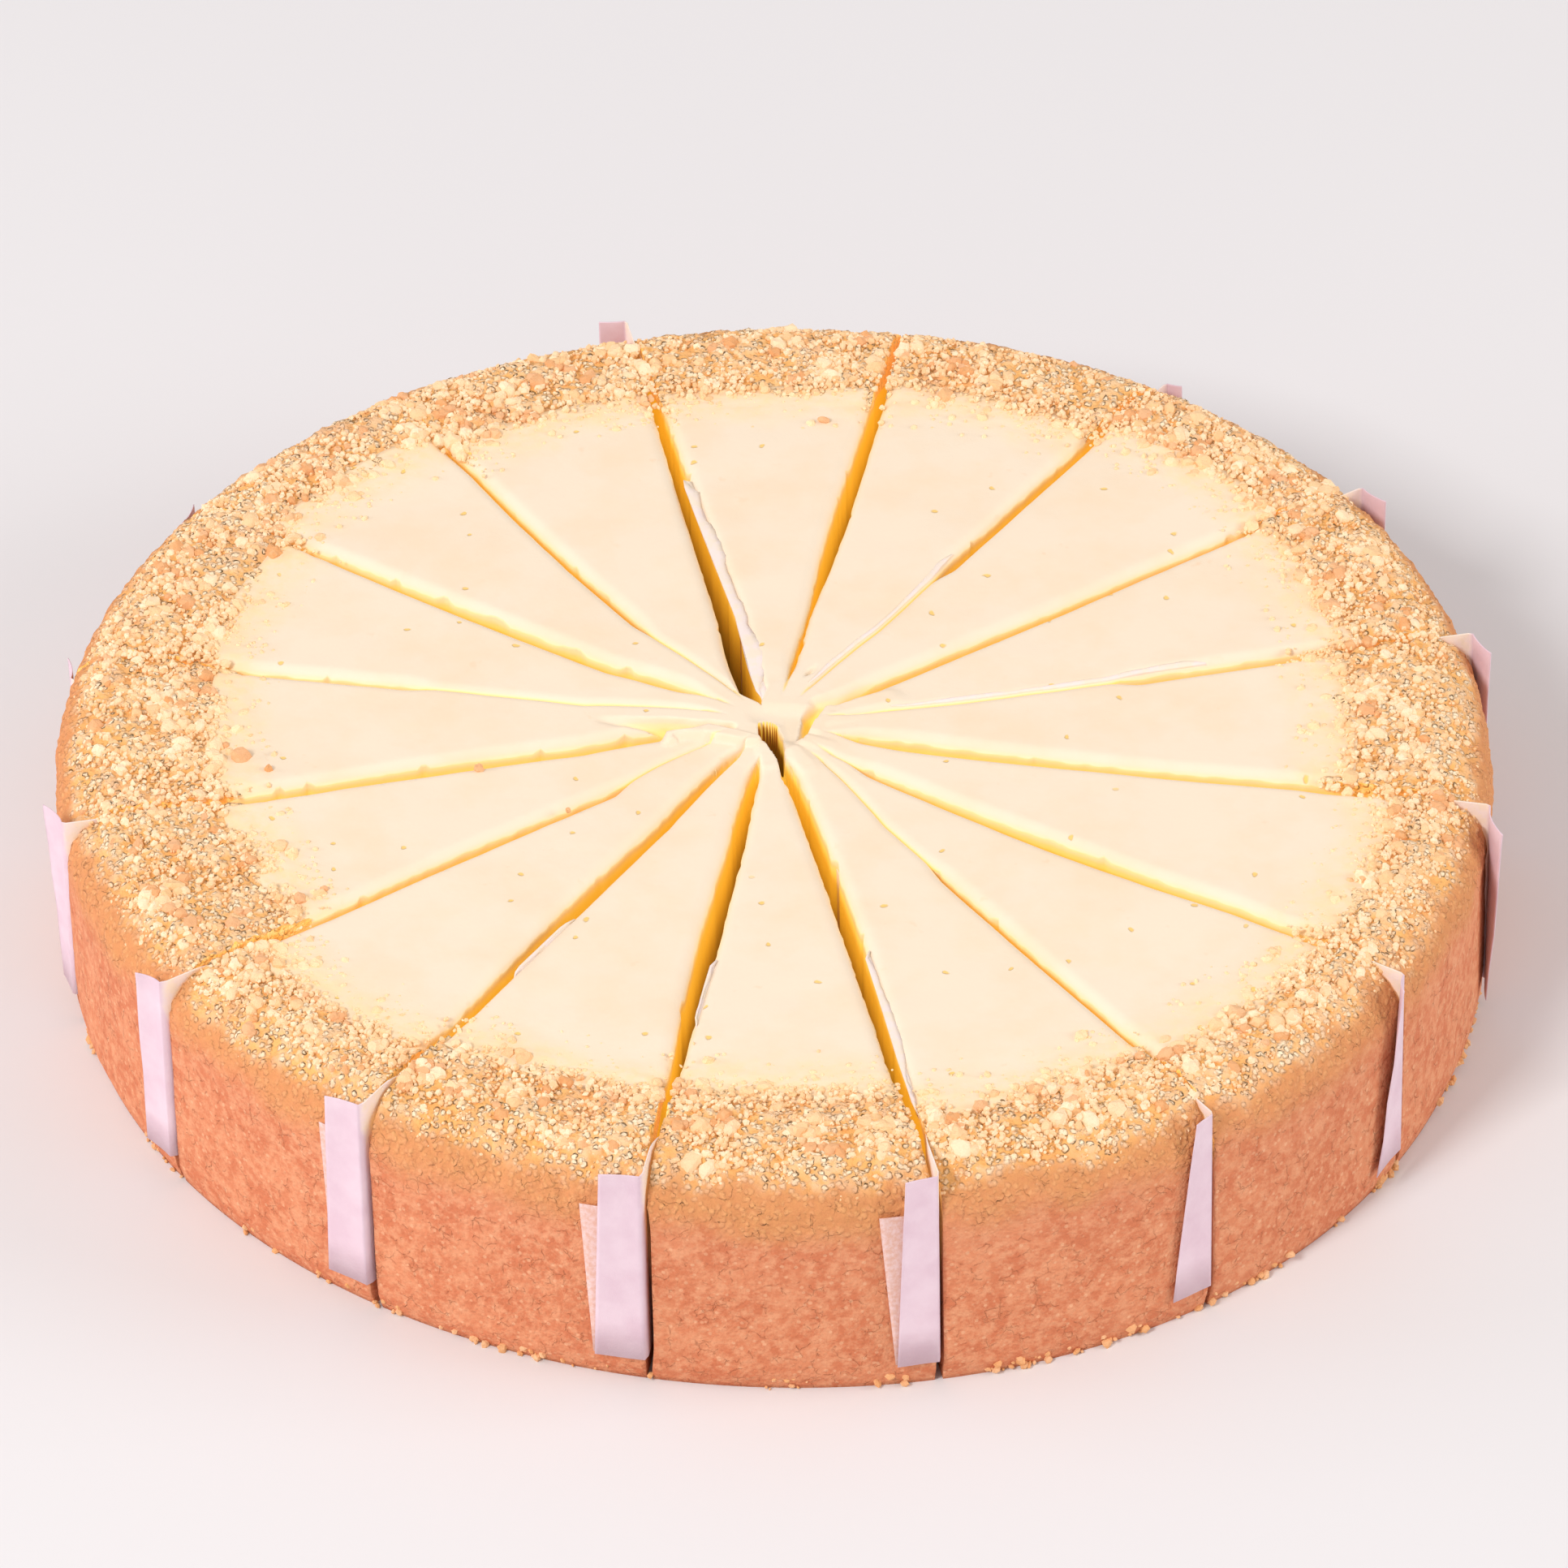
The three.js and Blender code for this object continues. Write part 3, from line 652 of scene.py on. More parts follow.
def rim_relief(points):
    """Crags of the crumbs, from 0 in the deepest gaps to about 1."""
    lumps = clumps(points, 6.5, 45)
    coarse = clumps(points, 3.0, 40)
    fine = clumps(points, 1.5, 50)
    return 0.35 * lumps + 0.4 * coarse + 0.45 * fine + 0.08 * noise(points, 0.9, 60)


def side_relief(points):
    """Low lumps of the pressed side, grainier towards the crumbs."""
    grainy = smooth(31, 39, points[..., 2])
    grains = 1.6 * clumps(points, 1.7, 64) + 0.7 * noise(points, 0.9, 65)
    wide = 0.6 * noise(points, 9, 61) + 0.35 * noise(points, 3.2, 62)
    return wide + 0.2 * noise(points, 1.4, 63) + grainy * grains


def crumb_share(height, points):
    """1 where the crust is loose crumbs and 0 where it is pressed smooth, down its side."""
    line = CRUMB_LINE + 1.6 * noise(points, 9, 71) + 1.4 * noise(points, 3, 72)
    return smooth(line - 2.2, line + 1.6, height)


def crust_piece(index, material):
    border = CUTS[index]["border"]
    shown, hidden = crust_section(border)
    section = np.concatenate([shown, hidden])
    is_shown = np.arange(len(section)) < len(shown)
    normals = np.zeros_like(section)
    normals[:len(shown)] = path_normals(shown)
    share = np.linspace(0, 1, CRUST_COLUMNS)[:, None]
    radius = np.broadcast_to(section[:, 0], (CRUST_COLUMNS, len(section)))
    height = np.broadcast_to(section[:, 1], radius.shape)
    first, last = slice_edges(index, section[:, 0])
    angle = first + (last - first) * share
    flat = place(radius, angle, height)
    past = radius - border
    loose = crumb_share(height, flat) * is_shown
    crags = rim_relief(flat)
    fade = smooth(-0.5, 4.5, past)
    rise = RIM_CRAGS * crags * (0.5 + 0.5 * fade) - RIM_SUNK * fade
    shift = loose * rise + SIDE_LUMPS * side_relief(flat) * (1 - loose) * is_shown
    shift = shift * smooth(0, 2.5, height + 99 * (loose > 0.5))
    wander = BORDER_WANDER * (noise(flat, 9, 73) + 0.6 * noise(flat, 3.5, 74))
    wander = wander * (1 - smooth(0, 7, past)) * is_shown
    edge = (1 - smooth(1.0, 5.5, past + 1.5 * noise(flat, 4, 78))) * is_shown
    points = place(radius + shift * normals[:, 0] + wander, angle, height + shift * normals[:, 1])
    points = points.reshape(-1, 3)
    around = len(section)
    faces = outward(points, [tube_faces(CRUST_COLUMNS, around)] + ring_ends(CRUST_COLUMNS, around))
    name = f"{index + 1:02d}"
    pale = smooth(30, 40, height + 3 * noise(flat, 7, 77))
    values = {"relief": crags, "loose": loose, "edge": edge, "pale": pale}
    piece = make_piece(f"crumbs_{name}", points, faces, material,
                       [f"crust_{name}"], values)
    mark_cut_faces(piece.data, around)


def mark_cut_faces(mesh, around):
    """Makes a crust's two cut faces flat, and marks their corners for the material."""
    is_round = np.ones(len(mesh.polygons), dtype=bool)
    is_round[-2:] = False
    mesh.polygons.foreach_set("use_smooth", is_round)
    cut = np.zeros(len(mesh.loops), dtype=np.float32)
    cut[-2 * around:] = 1
    mesh.attributes.new("cut", "FLOAT", "CORNER").data.foreach_set("value", cut)


# Loose crumbs

GOLDEN = (1 + math.sqrt(5)) / 2
ICO_PAIRS = [(short, tall) for tall in (GOLDEN, -GOLDEN) for short in (-1.0, 1.0)]
ICO_POINTS = np.array([np.roll((*pair, 0.0), turn) for turn in range(3) for pair in ICO_PAIRS])
ICO_POINTS = ICO_POINTS / np.linalg.norm(ICO_POINTS[0])
ICO_FACES = np.array([(0, 11, 5), (0, 5, 1), (0, 1, 7), (0, 7, 10), (0, 10, 11), (1, 5, 9), (5, 11, 4),
                      (11, 10, 2), (10, 7, 6), (7, 1, 8), (3, 9, 4), (3, 4, 2), (3, 2, 6), (3, 6, 8),
                      (3, 8, 9), (4, 9, 5), (2, 4, 11), (6, 2, 10), (8, 6, 7), (9, 8, 1)])

# Kinds of loose crumbs. `size` is a range of radii, `skew` tells how rare the large ones are, and
# `ends` is the turn of the rim, in radians, over which they thin out.
KINDS = (
    dict(name="crumbs_large", material="crumb_pale", count=1250, is_fine=True,
         size=(0.8, 1.9), skew=2.6, ends=(0.25, 0.65), seed=1),
    dict(name="crumbs_small", material="crumb_pale", count=9000, is_fine=False,
         size=(0.4, 0.85), skew=1.4, ends=(0.36, 0.82), seed=2),
    dict(name="crumb_grains", material="crumb_grain", count=7000, is_fine=False,
         size=(0.22, 0.42), skew=1.0, ends=(0.6, 1.15), seed=3),
    dict(name="crumbs_toasted", material="crumb_toasted", count=450, is_fine=True,
         size=(0.7, 1.8), skew=2.0, ends=(0.3, 0.8), seed=4),
)
TRIES = 6
STRAY_SHARE = 0.14
SCATTER_INWARD = 11.0
CRUMB_FLATTEN = 0.85
FINE_UNEVEN = 0.2
ROUGH_UNEVEN = 0.24
BRIDGE_REACH = 0.2
OPEN_MARGIN = 0.75
STRAY_SEED = 11
FOOT_SEED = 12
FOOT_COUNT = 700
CLUSTER = 5
CLUSTER_SPREAD = 1.3

# Single crumbs that lie away from the rim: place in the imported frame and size
STRAY_CRUMBS = ((-93.2, -5.4, 3.1), (-51.7, -10.0, 1.9), (-82.1, -46.0, 2.1), (10.0, 91.9, 1.9),
                (-36.1, -22.4, 1.3), (-88.4, -9.0, 1.7), (-78.0, -43.2, 1.4), (-96.0, -1.8, 1.5))


def finer(points, faces):
    """The same ball with each face split in four."""
    points = [tuple(p) for p in points]
    known = {}

    def middle(a, b):
        key = (min(a, b), max(a, b))
        if key not in known:
            halfway = (np.array(points[a]) + np.array(points[b])) / 2
            points.append(tuple(halfway / np.linalg.norm(halfway)))
            known[key] = len(points) - 1
        return known[key]

    made = []
    for a, b, c in faces:
        ab, bc, ca = middle(a, b), middle(b, c), middle(c, a)
        made += [(a, ab, ca), (b, bc, ab), (c, ca, bc), (ab, bc, ca)]
    return np.array(points), np.array(made)


def rotations(random, count):
    """Random rotation matrices."""
    q = random.normal(size=(count, 4))
    w, x, y, z = (q / np.linalg.norm(q, axis=1)[:, None]).T
    return np.stack([
        np.stack([1 - 2 * (y * y + z * z), 2 * (x * y - z * w), 2 * (x * z + y * w)], -1),
        np.stack([2 * (x * y + z * w), 1 - 2 * (x * x + z * z), 2 * (y * z - x * w)], -1),
        np.stack([2 * (x * z - y * w), 2 * (y * z + x * w), 1 - 2 * (x * x + y * y)], -1)], 1)


def rim_point(distance, border):
    """Radius, height and outward lean at a distance along the rim from its border."""
    corner = CAKE_RADIUS - RIM_CORNER
    flat = corner - border
    turn = np.clip((distance - flat) / RIM_CORNER, 0, math.pi / 2)
    past = np.clip(distance - flat - RIM_CORNER * math.pi / 2, 0, None)
    radius = np.where(distance < flat, border + distance, corner + RIM_CORNER * np.sin(turn))
    height = RIM_TOP - RIM_CORNER * (1 - np.cos(turn)) - past
    inner = CHEESE_TOP + (RIM_TOP - CHEESE_TOP) * smooth(-1, 3, distance)
    return radius, np.where(distance < 3, inner, height), turn


def crumb_density(kind, where, distance, turn):
    """How likely a crumb is to stay where it fell: clustered, thin inwards, and worn off the side."""
    gathered = 0.6 + 0.9 * noise(where, 5, 80 + kind["seed"])
    ragged_edge = distance + 2.2 * noise(where, 7, 91) + 1.2 * noise(where, 2.5, 92)
    strays = STRAY_SHARE * smooth(-SCATTER_INWARD, -5, ragged_edge)
    thin = strays + (1 - STRAY_SHARE) * smooth(-5.5, 4, ragged_edge)
    worn = 1 - smooth(*kind["ends"], turn + 0.3 * noise(where, 6, 93))
    return thin * worn * gathered


def scatter(kind):
    """Loose crumbs of one kind over the rim: places, sizes and how soaked with cheese each is."""
    random = np.random.default_rng(kind["seed"])
    tries = kind["count"] * TRIES
    index = np.repeat(random.integers(0, SLICES, tries // CLUSTER), CLUSTER)
    tries = len(index)
    share = np.repeat(random.random(tries // CLUSTER), CLUSTER)
    border = np.array([cut["border"] for cut in CUTS])[index]
    low, high = kind["size"]
    size = low + (high - low) * random.random(tries) ** kind["skew"]
    length = CAKE_RADIUS - RIM_CORNER - border + RIM_CORNER * 1.25
    spread = np.repeat(random.random(tries // CLUSTER), CLUSTER)
    distance = -SCATTER_INWARD + (length + SCATTER_INWARD) * spread
    distance = distance + CLUSTER_SPREAD * random.normal(size=tries)
    share = np.clip(share + CLUSTER_SPREAD / 45 * random.normal(size=tries), 0, 1)
    radius, height, turn = rim_point(distance, border)
    first = np.array([cut_angle(i, r) for i, r in zip(index, radius)])
    last = np.array([cut_angle(i + 1, r) for i, r in zip(index, radius)])
    is_bridged = np.array([cut["is_bridged"] for cut in CUTS])[index]
    margin = np.where(is_bridged, -BRIDGE_REACH, OPEN_MARGIN + 0.5 * size) / radius
    angle = first - margin + (last - first + 2 * margin) * share
    where = place(radius, angle, height)
    dense = crumb_density(kind, where, distance, turn)
    kept = np.flatnonzero(random.random(tries) < dense)[:kind["count"]]
    lean = np.stack([np.sin(turn) * np.cos(angle), np.sin(turn) * np.sin(angle), np.cos(turn)], -1)
    size = size * (0.75 + 0.25 * smooth(-4, 2, distance))
    sunk = -0.2 - 0.25 * smooth(-4, 1, distance)
    soaked = 1 - smooth(-1, 4, distance)
    return (where + lean * (size * sunk)[:, None])[kept], size[kept], soaked[kept], random


def lumps_piece(name, places, sizes, is_fine, random, material, soaked=0.0):
    """Many small crumbs joined to one mesh. Soaked ones have taken the cheese's colour."""
    ball, faces = finer(ICO_POINTS, ICO_FACES) if is_fine else (ICO_POINTS, ICO_FACES)
    count = len(places)
    uneven = 1 + (FINE_UNEVEN if is_fine else ROUGH_UNEVEN) * random.uniform(-1, 1, (count, len(ball)))
    scale = sizes[:, None] * random.uniform(0.7, 1.2, (count, 3)) * (1, 1, CRUMB_FLATTEN)
    local = ball[None] * uneven[..., None] * scale[:, None, :]
    turned = np.einsum("nij,nvj->nvi", rotations(random, count), local)
    points = (turned + places[:, None, :]).reshape(-1, 3)
    joined = (faces[None] + (np.arange(count) * len(ball))[:, None, None]).reshape(-1, 3)
    values = {"shade": random.random(count), "soaked": soaked * np.ones(count)}
    values = {label: np.repeat(amounts, len(ball)) for label, amounts in values.items()}
    return make_piece(name, points, [joined], material, values=values, is_smooth=False)


def crumb_pieces(materials):
    for kind in KINDS:
        places, sizes, soaked, random = scatter(kind)
        material = materials[kind["material"]]
        lumps_piece(kind["name"], places, sizes, kind["is_fine"], random, material, soaked)
    random = np.random.default_rng(STRAY_SEED)
    strays = np.array(STRAY_CRUMBS)
    places = np.column_stack([strays[:, :2], CHEESE_TOP + strays[:, 2] * 0.2])
    lumps_piece("crumbs_stray", places, strays[:, 2] / 2, True, random, materials["crumb_toasted"])


def foot_crumbs(material):
    """Small crumbs pressed against the foot of the side."""
    random = np.random.default_rng(FOOT_SEED)
    angle = random.uniform(0, 2 * math.pi, FOOT_COUNT)
    size = 0.35 + 0.75 * random.random(FOOT_COUNT) ** 2.2
    radius = FOOT_RADIUS + size * 0.35 + random.uniform(0, 0.5, FOOT_COUNT)
    places = place(radius, angle, size * 0.62 + random.uniform(0, 1, FOOT_COUNT) ** 2 * 2.2)
    keep = noise(places, 9, 90) + 0.5 * noise(places, 3, 94) > 0.0
    lumps_piece("crumbs_foot", places[keep], size[keep], False, random, material)


# Papers

STEM_ROWS = 60
TAIL_ROWS = 14
STEM_SHARES = np.array([0, 0.2, 0.4, 0.6, 0.75, 0.86, 0.93, 0.97, 0.985, 0.99, 0.995, 1.0])
STRIP_SHARES = np.array([0, 0, 0, 0, 0, 0, 0, 0, 0.001, 0.08, 0.6, 1.0])
STRIP_LIFTS = np.array([0, 0, 0, 0, 0, 0, 0, -0.3, 0.08, 0.14, 0.14, -0.14])
STRIP_SAG = 0.55
STEM_BEHIND = 0.6


def leaf_stem(index, start, top, torn):
    """Rows of points of the part of a leaf that stands in the cut, from its inner end out."""
    leaf = LEAVES[index]
    radii = np.linspace(start, CAKE_RADIUS - 0.3, STEM_ROWS)
    shown = leaf.get("shows", (0, 0)) if torn else (0, 0)
    up = smooth(shown[0] - 3, shown[0] + 3, radii) * smooth(shown[1] + 3, shown[1] - 3, radii)
    rise = smooth(108, 121, radii)
    spots = row_spots(radii, 50.0 * index)
    tear = noise(spots, 5, 31) + 0.6 * noise(spots, 1.8, 32)
    crest = PAPER_STEM_TOP + (PAPER_SHOWN_TOP - PAPER_STEM_TOP) * up + PAPER_TEAR * tear
    crest = np.minimum(crest + (top - crest) * rise, top)
    strip = leaf.get("lies", 0) * up * (1 + 0.6 * noise(spots, 11, 35) + 0.15 * tear) * torn
    strip = strip * smooth(start, start + 14, radii)
    low_end = smooth(PAPER_START, PAPER_START - 6, radii)[:, None]
    foot = PAPER_FOOT + (PAPER_STEM_TOP - 1 - PAPER_FOOT) * low_end
    heights = foot + (crest[:, None] - foot) * STEM_SHARES
    lies = strip[:, None] * STRIP_SHARES
    shown_strip = smooth(0.05, 0.35, strip)
    inside = (STEM_BEHIND + (leaf.get("inset", 0) - STEM_BEHIND) * shown_strip)[:, None]
    across = leaf["wall"] * (cut_width(index, radii)[:, None] / 2 + inside) * (1 - rise)[:, None]
    hidden = (STEM_BEHIND - inside) * (STRIP_SHARES == 0) * (1 - rise)[:, None]
    across = across + leaf["wall"] * (lies + hidden)
    radius = np.broadcast_to(radii[:, None], heights.shape)
    angle = cut_angle(index, radii)[:, None] - across / radius
    surface, _ = cheese_height(radius, angle, has_gaps=False)
    is_flat = (STRIP_SHARES > 0) & (STRIP_SHARES < 1)
    over = np.where(is_flat, np.maximum(surface, CHEESE_TOP - STRIP_SAG), surface)
    over = over + STRIP_LIFTS
    heights = np.where(strip[:, None] * (STEM_SHARES > 0.95) > 0.05, over, heights)
    return place(radius, angle, heights)


def leaf_tail(index, tail, foot, splay, top, stand_off):
    """Rows of points of the part of a leaf that turns along the side."""
    turn = math.copysign(1, tail)
    mouth = cut_angle(index, CAKE_RADIUS)
    steps = np.linspace(0.0, 1, TAIL_ROWS)[:, None]
    clear = CAKE_RADIUS + CLEARANCE + stand_off + 0.1
    shares = STEM_SHARES[None, :]
    edge = foot + (tail - foot) * shares
    out = 0.4 * turn + (edge - 0.4 * turn) * steps
    lift = splay * steps ** 2 * (FOOT_SPLAY + (1 - FOOT_SPLAY) * shares)
    heights = PAPER_FOOT + (top - PAPER_FOOT) * shares + 0 * out
    spots = np.stack([out, heights, np.full_like(out, 50.0 * index)], -1)
    crease = 0.22 * noise(spots, 7, 34) * smooth(0, 0.4, steps)
    return place(clear + lift + crease, mouth - out / CAKE_RADIUS, heights)


def leaf_grid(index, start, tail, foot, splay, top, stand_off, torn=True):
    """Points of a whole leaf: its stem in the cut, the turn at the mouth and the tail."""
    stem = leaf_stem(index, start, top, torn)
    return np.concatenate([stem, leaf_tail(index, tail, foot, splay, top, stand_off)])


def leaf_solid(grid, thickness):
    """A closed thin sheet around a grid of points."""
    along = np.gradient(grid, axis=0)
    up = np.gradient(grid, axis=1)
    across = np.cross(along, up)
    across /= np.linalg.norm(across, axis=2)[..., None]
    points = np.concatenate([(grid + across * thickness / 2).reshape(-1, 3),
                             (grid - across * thickness / 2).reshape(-1, 3)])
    rows, columns = grid.shape[:2]
    count = rows * columns
    front = grid_faces(rows, columns)
    numbers = np.arange(count).reshape(rows, columns)
    edge = np.concatenate([numbers[0], numbers[1:, -1], numbers[-1, -2::-1], numbers[-2:0:-1, 0]])
    after = np.roll(edge, -1)
    rim = np.stack([after, edge, edge + count, after + count], -1)
    return points, np.concatenate([front, front[:, ::-1] + count, rim])


def paper_piece(index, material):
    leaf = LEAVES[index]
    under = leaf.get("under")
    stand_off = UNDER_OFFSET if under else 0.0
    start = leaf.get("start", PAPER_START)
    front = leaf_grid(index, start, leaf["tail"], leaf["foot"], leaf["splay"], leaf["top"], stand_off)
    points, faces = leaf_solid(front, PAPER_THICKNESS)
    veil = np.zeros(len(points))
    standing = np.arange(front.shape[0]) < STEM_ROWS
    smear = np.tile((standing[:, None] * (STEM_SHARES > 0.8)).ravel() * 1.0, 2)
    if under:
        tail, foot, top = under
        grid = leaf_grid(index, UNDER_START, tail, foot, 0.2, top, 0.0, torn=False)
        behind, more = leaf_solid(grid, PAPER_THICKNESS)
        faces = np.concatenate([faces, more + len(points)])
        veil = np.concatenate([veil, np.ones(len(behind))])
        smear = np.concatenate([smear, np.zeros(len(behind))])
        points = np.concatenate([points, behind])
    name = f"{index + 1:02d}"
    faces = outward(points, [faces])
    return make_piece(f"divider_{name}", points, faces, material, [f"paper_{name}"],
                      {"veil": veil, "smear": smear})


# Materials

class Shader:
    """A material under construction: its nodes and the links between them."""

    def __init__(self, name):
        self.material = bpy.data.materials.new(name)
        self.material.use_nodes = True
        # The mild glows needn't be sampled as lights, which keeps the render quick.
        self.material.cycles.emission_sampling = "NONE"
        self.tree = self.material.node_tree
        self.surface = self.tree.nodes["Principled BSDF"]

    def node(self, kind, **settings):
        made = self.tree.nodes.new(kind)
        for key, value in settings.items():
            setattr(made, key, value)
        return made

    def join(self, source, target):
        """Links a node's output to a socket, or gives the socket a number or a colour."""
        if hasattr(source, "links"):
            self.tree.links.new(source, target)
        else:
            target.default_value = linear(source) if isinstance(source, tuple) else source

    def value(self, label):
        return self.node("ShaderNodeAttribute", attribute_name=label).outputs["Fac"]

    def place(self):
        return self.node("ShaderNodeTexCoord").outputs["Object"]

    def texture(self, kind, size, vector=None, **settings):
        """A texture whose bumps or cells are about `size` millimetres apart."""
        made = self.node(kind, **settings)
        self.join(vector or self.place(), made.inputs["Vector"])
        made.inputs["Scale"].default_value = 1 / (size * MM)
        return made

    def noise(self, size, detail=3.0, roughness=0.55):
        made = self.texture("ShaderNodeTexNoise", size)
        made.inputs["Detail"].default_value = detail
        made.inputs["Roughness"].default_value = roughness
        return made.outputs["Fac"]

    def cells(self, size, feature="F1", output="Distance", vector=None, dimensions="3D"):
        settings = {"feature": feature, "voronoi_dimensions": dimensions}
        return self.texture("ShaderNodeTexVoronoi", size, vector, **settings).outputs[output]

    def warped(self, size, amount):
        """Object position, moved about by noise."""
        made = self.texture("ShaderNodeTexNoise", size)
        moved = self.node("ShaderNodeVectorMath", operation="MULTIPLY_ADD")
        self.join(made.outputs["Color"], moved.inputs[0])
        moved.inputs[1].default_value = (amount * MM,) * 3
        self.join(self.place(), moved.inputs[2])
        return moved.outputs["Vector"]

    def span(self, source, low, high, to_low=0.0, to_high=1.0, kind="LINEAR"):
        """Turns values from low to high into values from to_low to to_high."""
        made = self.node("ShaderNodeMapRange", interpolation_type=kind)
        self.join(source, made.inputs["Value"])
        ends = {"From Min": low, "From Max": high, "To Min": to_low, "To Max": to_high}
        for key, value in ends.items():
            made.inputs[key].default_value = value
        return made.outputs["Result"]

    def rise(self, source, low, high, to_low=0.0, to_high=1.0):
        """A span that is level at both ends."""
        return self.span(source, low, high, to_low, to_high, "SMOOTHSTEP")

    def maths(self, operation, first, second):
        made = self.node("ShaderNodeMath", operation=operation)
        self.join(first, made.inputs[0])
        self.join(second, made.inputs[1])
        return made.outputs["Value"]

    def mottle(self, first, second, noise, low, high, most=1.0):
        """Two colours, of which the second takes over where noise is high."""
        return self.mix(self.span(noise, low, high, 0, most), first, second)

    def times(self, first, second):
        return self.maths("MULTIPLY", first, second)

    def mix(self, share, first, second):
        made = self.node("ShaderNodeMix", data_type="RGBA")
        for label, source in (("Factor", share), ("A", first), ("B", second)):
            self.join(source, made.inputs[label])
        return made.outputs["Result"]

    def bump(self, height, distance, after=None):
        made = self.node("ShaderNodeBump")
        made.inputs["Distance"].default_value = distance * MM
        self.join(height, made.inputs["Height"])
        if after is not None:
            self.join(after, made.inputs["Normal"])
        return made.outputs["Normal"]

    def glow(self, colour, strength):
        """Mild emission, in place of the light that cheese and crumb let through."""
        self.join(colour, self.surface.inputs["Emission Color"])
        self.join(strength, self.surface.inputs["Emission Strength"])

    def finish(self, colour, roughness, normal, **constants):
        self.join(colour, self.surface.inputs["Base Color"])
        self.join(roughness, self.surface.inputs["Roughness"])
        self.join(normal, self.surface.inputs["Normal"])
        for label, amount in constants.items():
            self.surface.inputs[label.replace("_", " ")].default_value = amount
        return self.material


# Sizes in the materials
PIT_SPACING = 10.5
GRANULE_SIZE = 1.25
CRACK_SPACING = 2.7
SPECK_SPACING = 1.9
GRIT_SIZE = 0.8
PRESSED_GRIT = 0.515


def cheese_material():
    shader = Shader("baked_cheese")
    depth = shader.value("depth")
    colour = shader.mottle(CREAM, CREAM_SMUDGE, shader.noise(16, 4, 0.6), 0.42, 0.68)
    stain = shader.times(shader.span(shader.noise(3.2, 2), 0.66, 0.76),
                         shader.span(shader.noise(23, 2), 0.5, 0.62))
    colour = shader.mix(shader.times(stain, 0.35), colour, CREAM_STAIN)
    buried = shader.span(shader.noise(2.4, 4, 0.6), 0.4, 0.62)
    edge = shader.times(shader.value("near"), shader.span(buried, 0, 1, 0.45, 1.0))
    colour = shader.mix(edge, colour, CHEESE_EDGE)
    # Painted shade: the cheese turns warmer, then brown and dark, deeper down a cut
    for low, high, deeper in DEPTH_SHADE_COLOURS:
        colour = shader.mix(shader.rise(depth, low, high), colour, deeper)
    glow = shader.times(shader.rise(depth, 1.6, 3.4),
                        shader.rise(depth, 6.0, 22.0, 1.0, 0.2))
    glow = shader.maths("ADD", glow, shader.times(edge, 0.12))
    shader.glow(GLOW, shader.times(glow, GLOW_STRENGTH))
    pits = pit_mask(shader)
    colour = shader.mix(shader.times(pits, 0.8), colour, PIT)
    fine = shader.bump(shader.noise(1.1, 3), 0.05)
    normal = shader.bump(shader.maths("SUBTRACT", 1.0, pits), 0.15, fine)
    rough = shader.span(shader.noise(7, 3), 0.3, 0.7, 0.42, 0.56)
    return shader.finish(colour, rough, normal, Specular_IOR_Level=0.2)


def pit_mask(shader):
    """Sparse small pits: the cores of a few chosen cells."""
    vector = shader.warped(3.0, 2.2)
    distance = shader.cells(PIT_SPACING, vector=vector, dimensions="2D")
    chosen = shader.node("ShaderNodeSeparateColor")
    colours = shader.cells(PIT_SPACING, output="Color", vector=vector, dimensions="2D")
    shader.join(colours, chosen.inputs["Color"])
    core = shader.rise(distance, 0.03, 0.062, 1.0, 0.0)
    return shader.times(core, shader.span(chosen.outputs["Red"], 0.70, 0.73))


def crumb_colour(shader, high):
    """Crumbs with painted shade, darker in the gaps between them and paler to their tops, with toasted
    patches.
    """
    crumb = shader.mix(shader.rise(high, 0.18, 0.5), CRUMB_GAP_SHADE, CRUMB_BODY)
    crumb = shader.mix(shader.rise(high, 0.5, 0.85), crumb, CRUMB_PALE)
    return shader.mottle(crumb, CRUMB_TOAST, shader.noise(11, 4, 0.6), 0.5, 0.66, 0.65)


def side_colour(shader, granule, cracks):
    """The pressed side: mottled, cracked and specked, and grainy towards the crumbs."""
    side = shader.mottle(SIDE_DARK, SIDE_BODY, shader.noise(8, 5, 0.65), 0.4, 0.6)
    side = shader.mottle(side, SIDE_LIGHT, shader.noise(2.0, 5, 0.7), 0.44, 0.64, 0.9)
    side = shader.mix(shader.times(cracks, 0.16), side, SIDE_CRACK)
    specks = shader.span(shader.cells(SPECK_SPACING), 0.16, 0.22, 1.0, 0.0)
    side = shader.mix(shader.times(specks, 0.25), side, SIDE_SPECK)
    grainy = shader.mottle(SIDE_GRAIN, SIDE_PALE, shader.noise(1.1, 3, 0.7), 0.35, 0.65)
    # Painted shade between the grains
    grainy = shader.mix(shader.span(granule, 0.1, 0.9, 0.5, 0.0), grainy, SIDE_GRAIN_SHADE)
    return shader.mix(shader.value("pale"), side, grainy)


def crust_bump(shader, granule, cracks, loose):
    """Grit all over, granules in the crumbs and above the pressed side, cracks in that side."""
    grit = shader.cells(GRIT_SIZE, vector=shader.warped(0.9, 0.5))
    grit = shader.span(grit, 0.1, 0.7, 1.0, 0.0)
    grit = shader.times(grit, shader.span(loose, 0, 1, PRESSED_GRIT, 1))
    grain = shader.bump(grit, 0.2, shader.bump(shader.noise(0.5, 3, 0.7), 0.12))
    grain = shader.bump(shader.times(granule, loose), 0.16, grain)
    grain = shader.bump(shader.times(granule, shader.value("pale")), 0.22, grain)
    whole = shader.maths("SUBTRACT", 1.0, shader.times(cracks, shader.span(loose, 0, 1, 1, 0)))
    return shader.bump(whole, 0.15, grain)


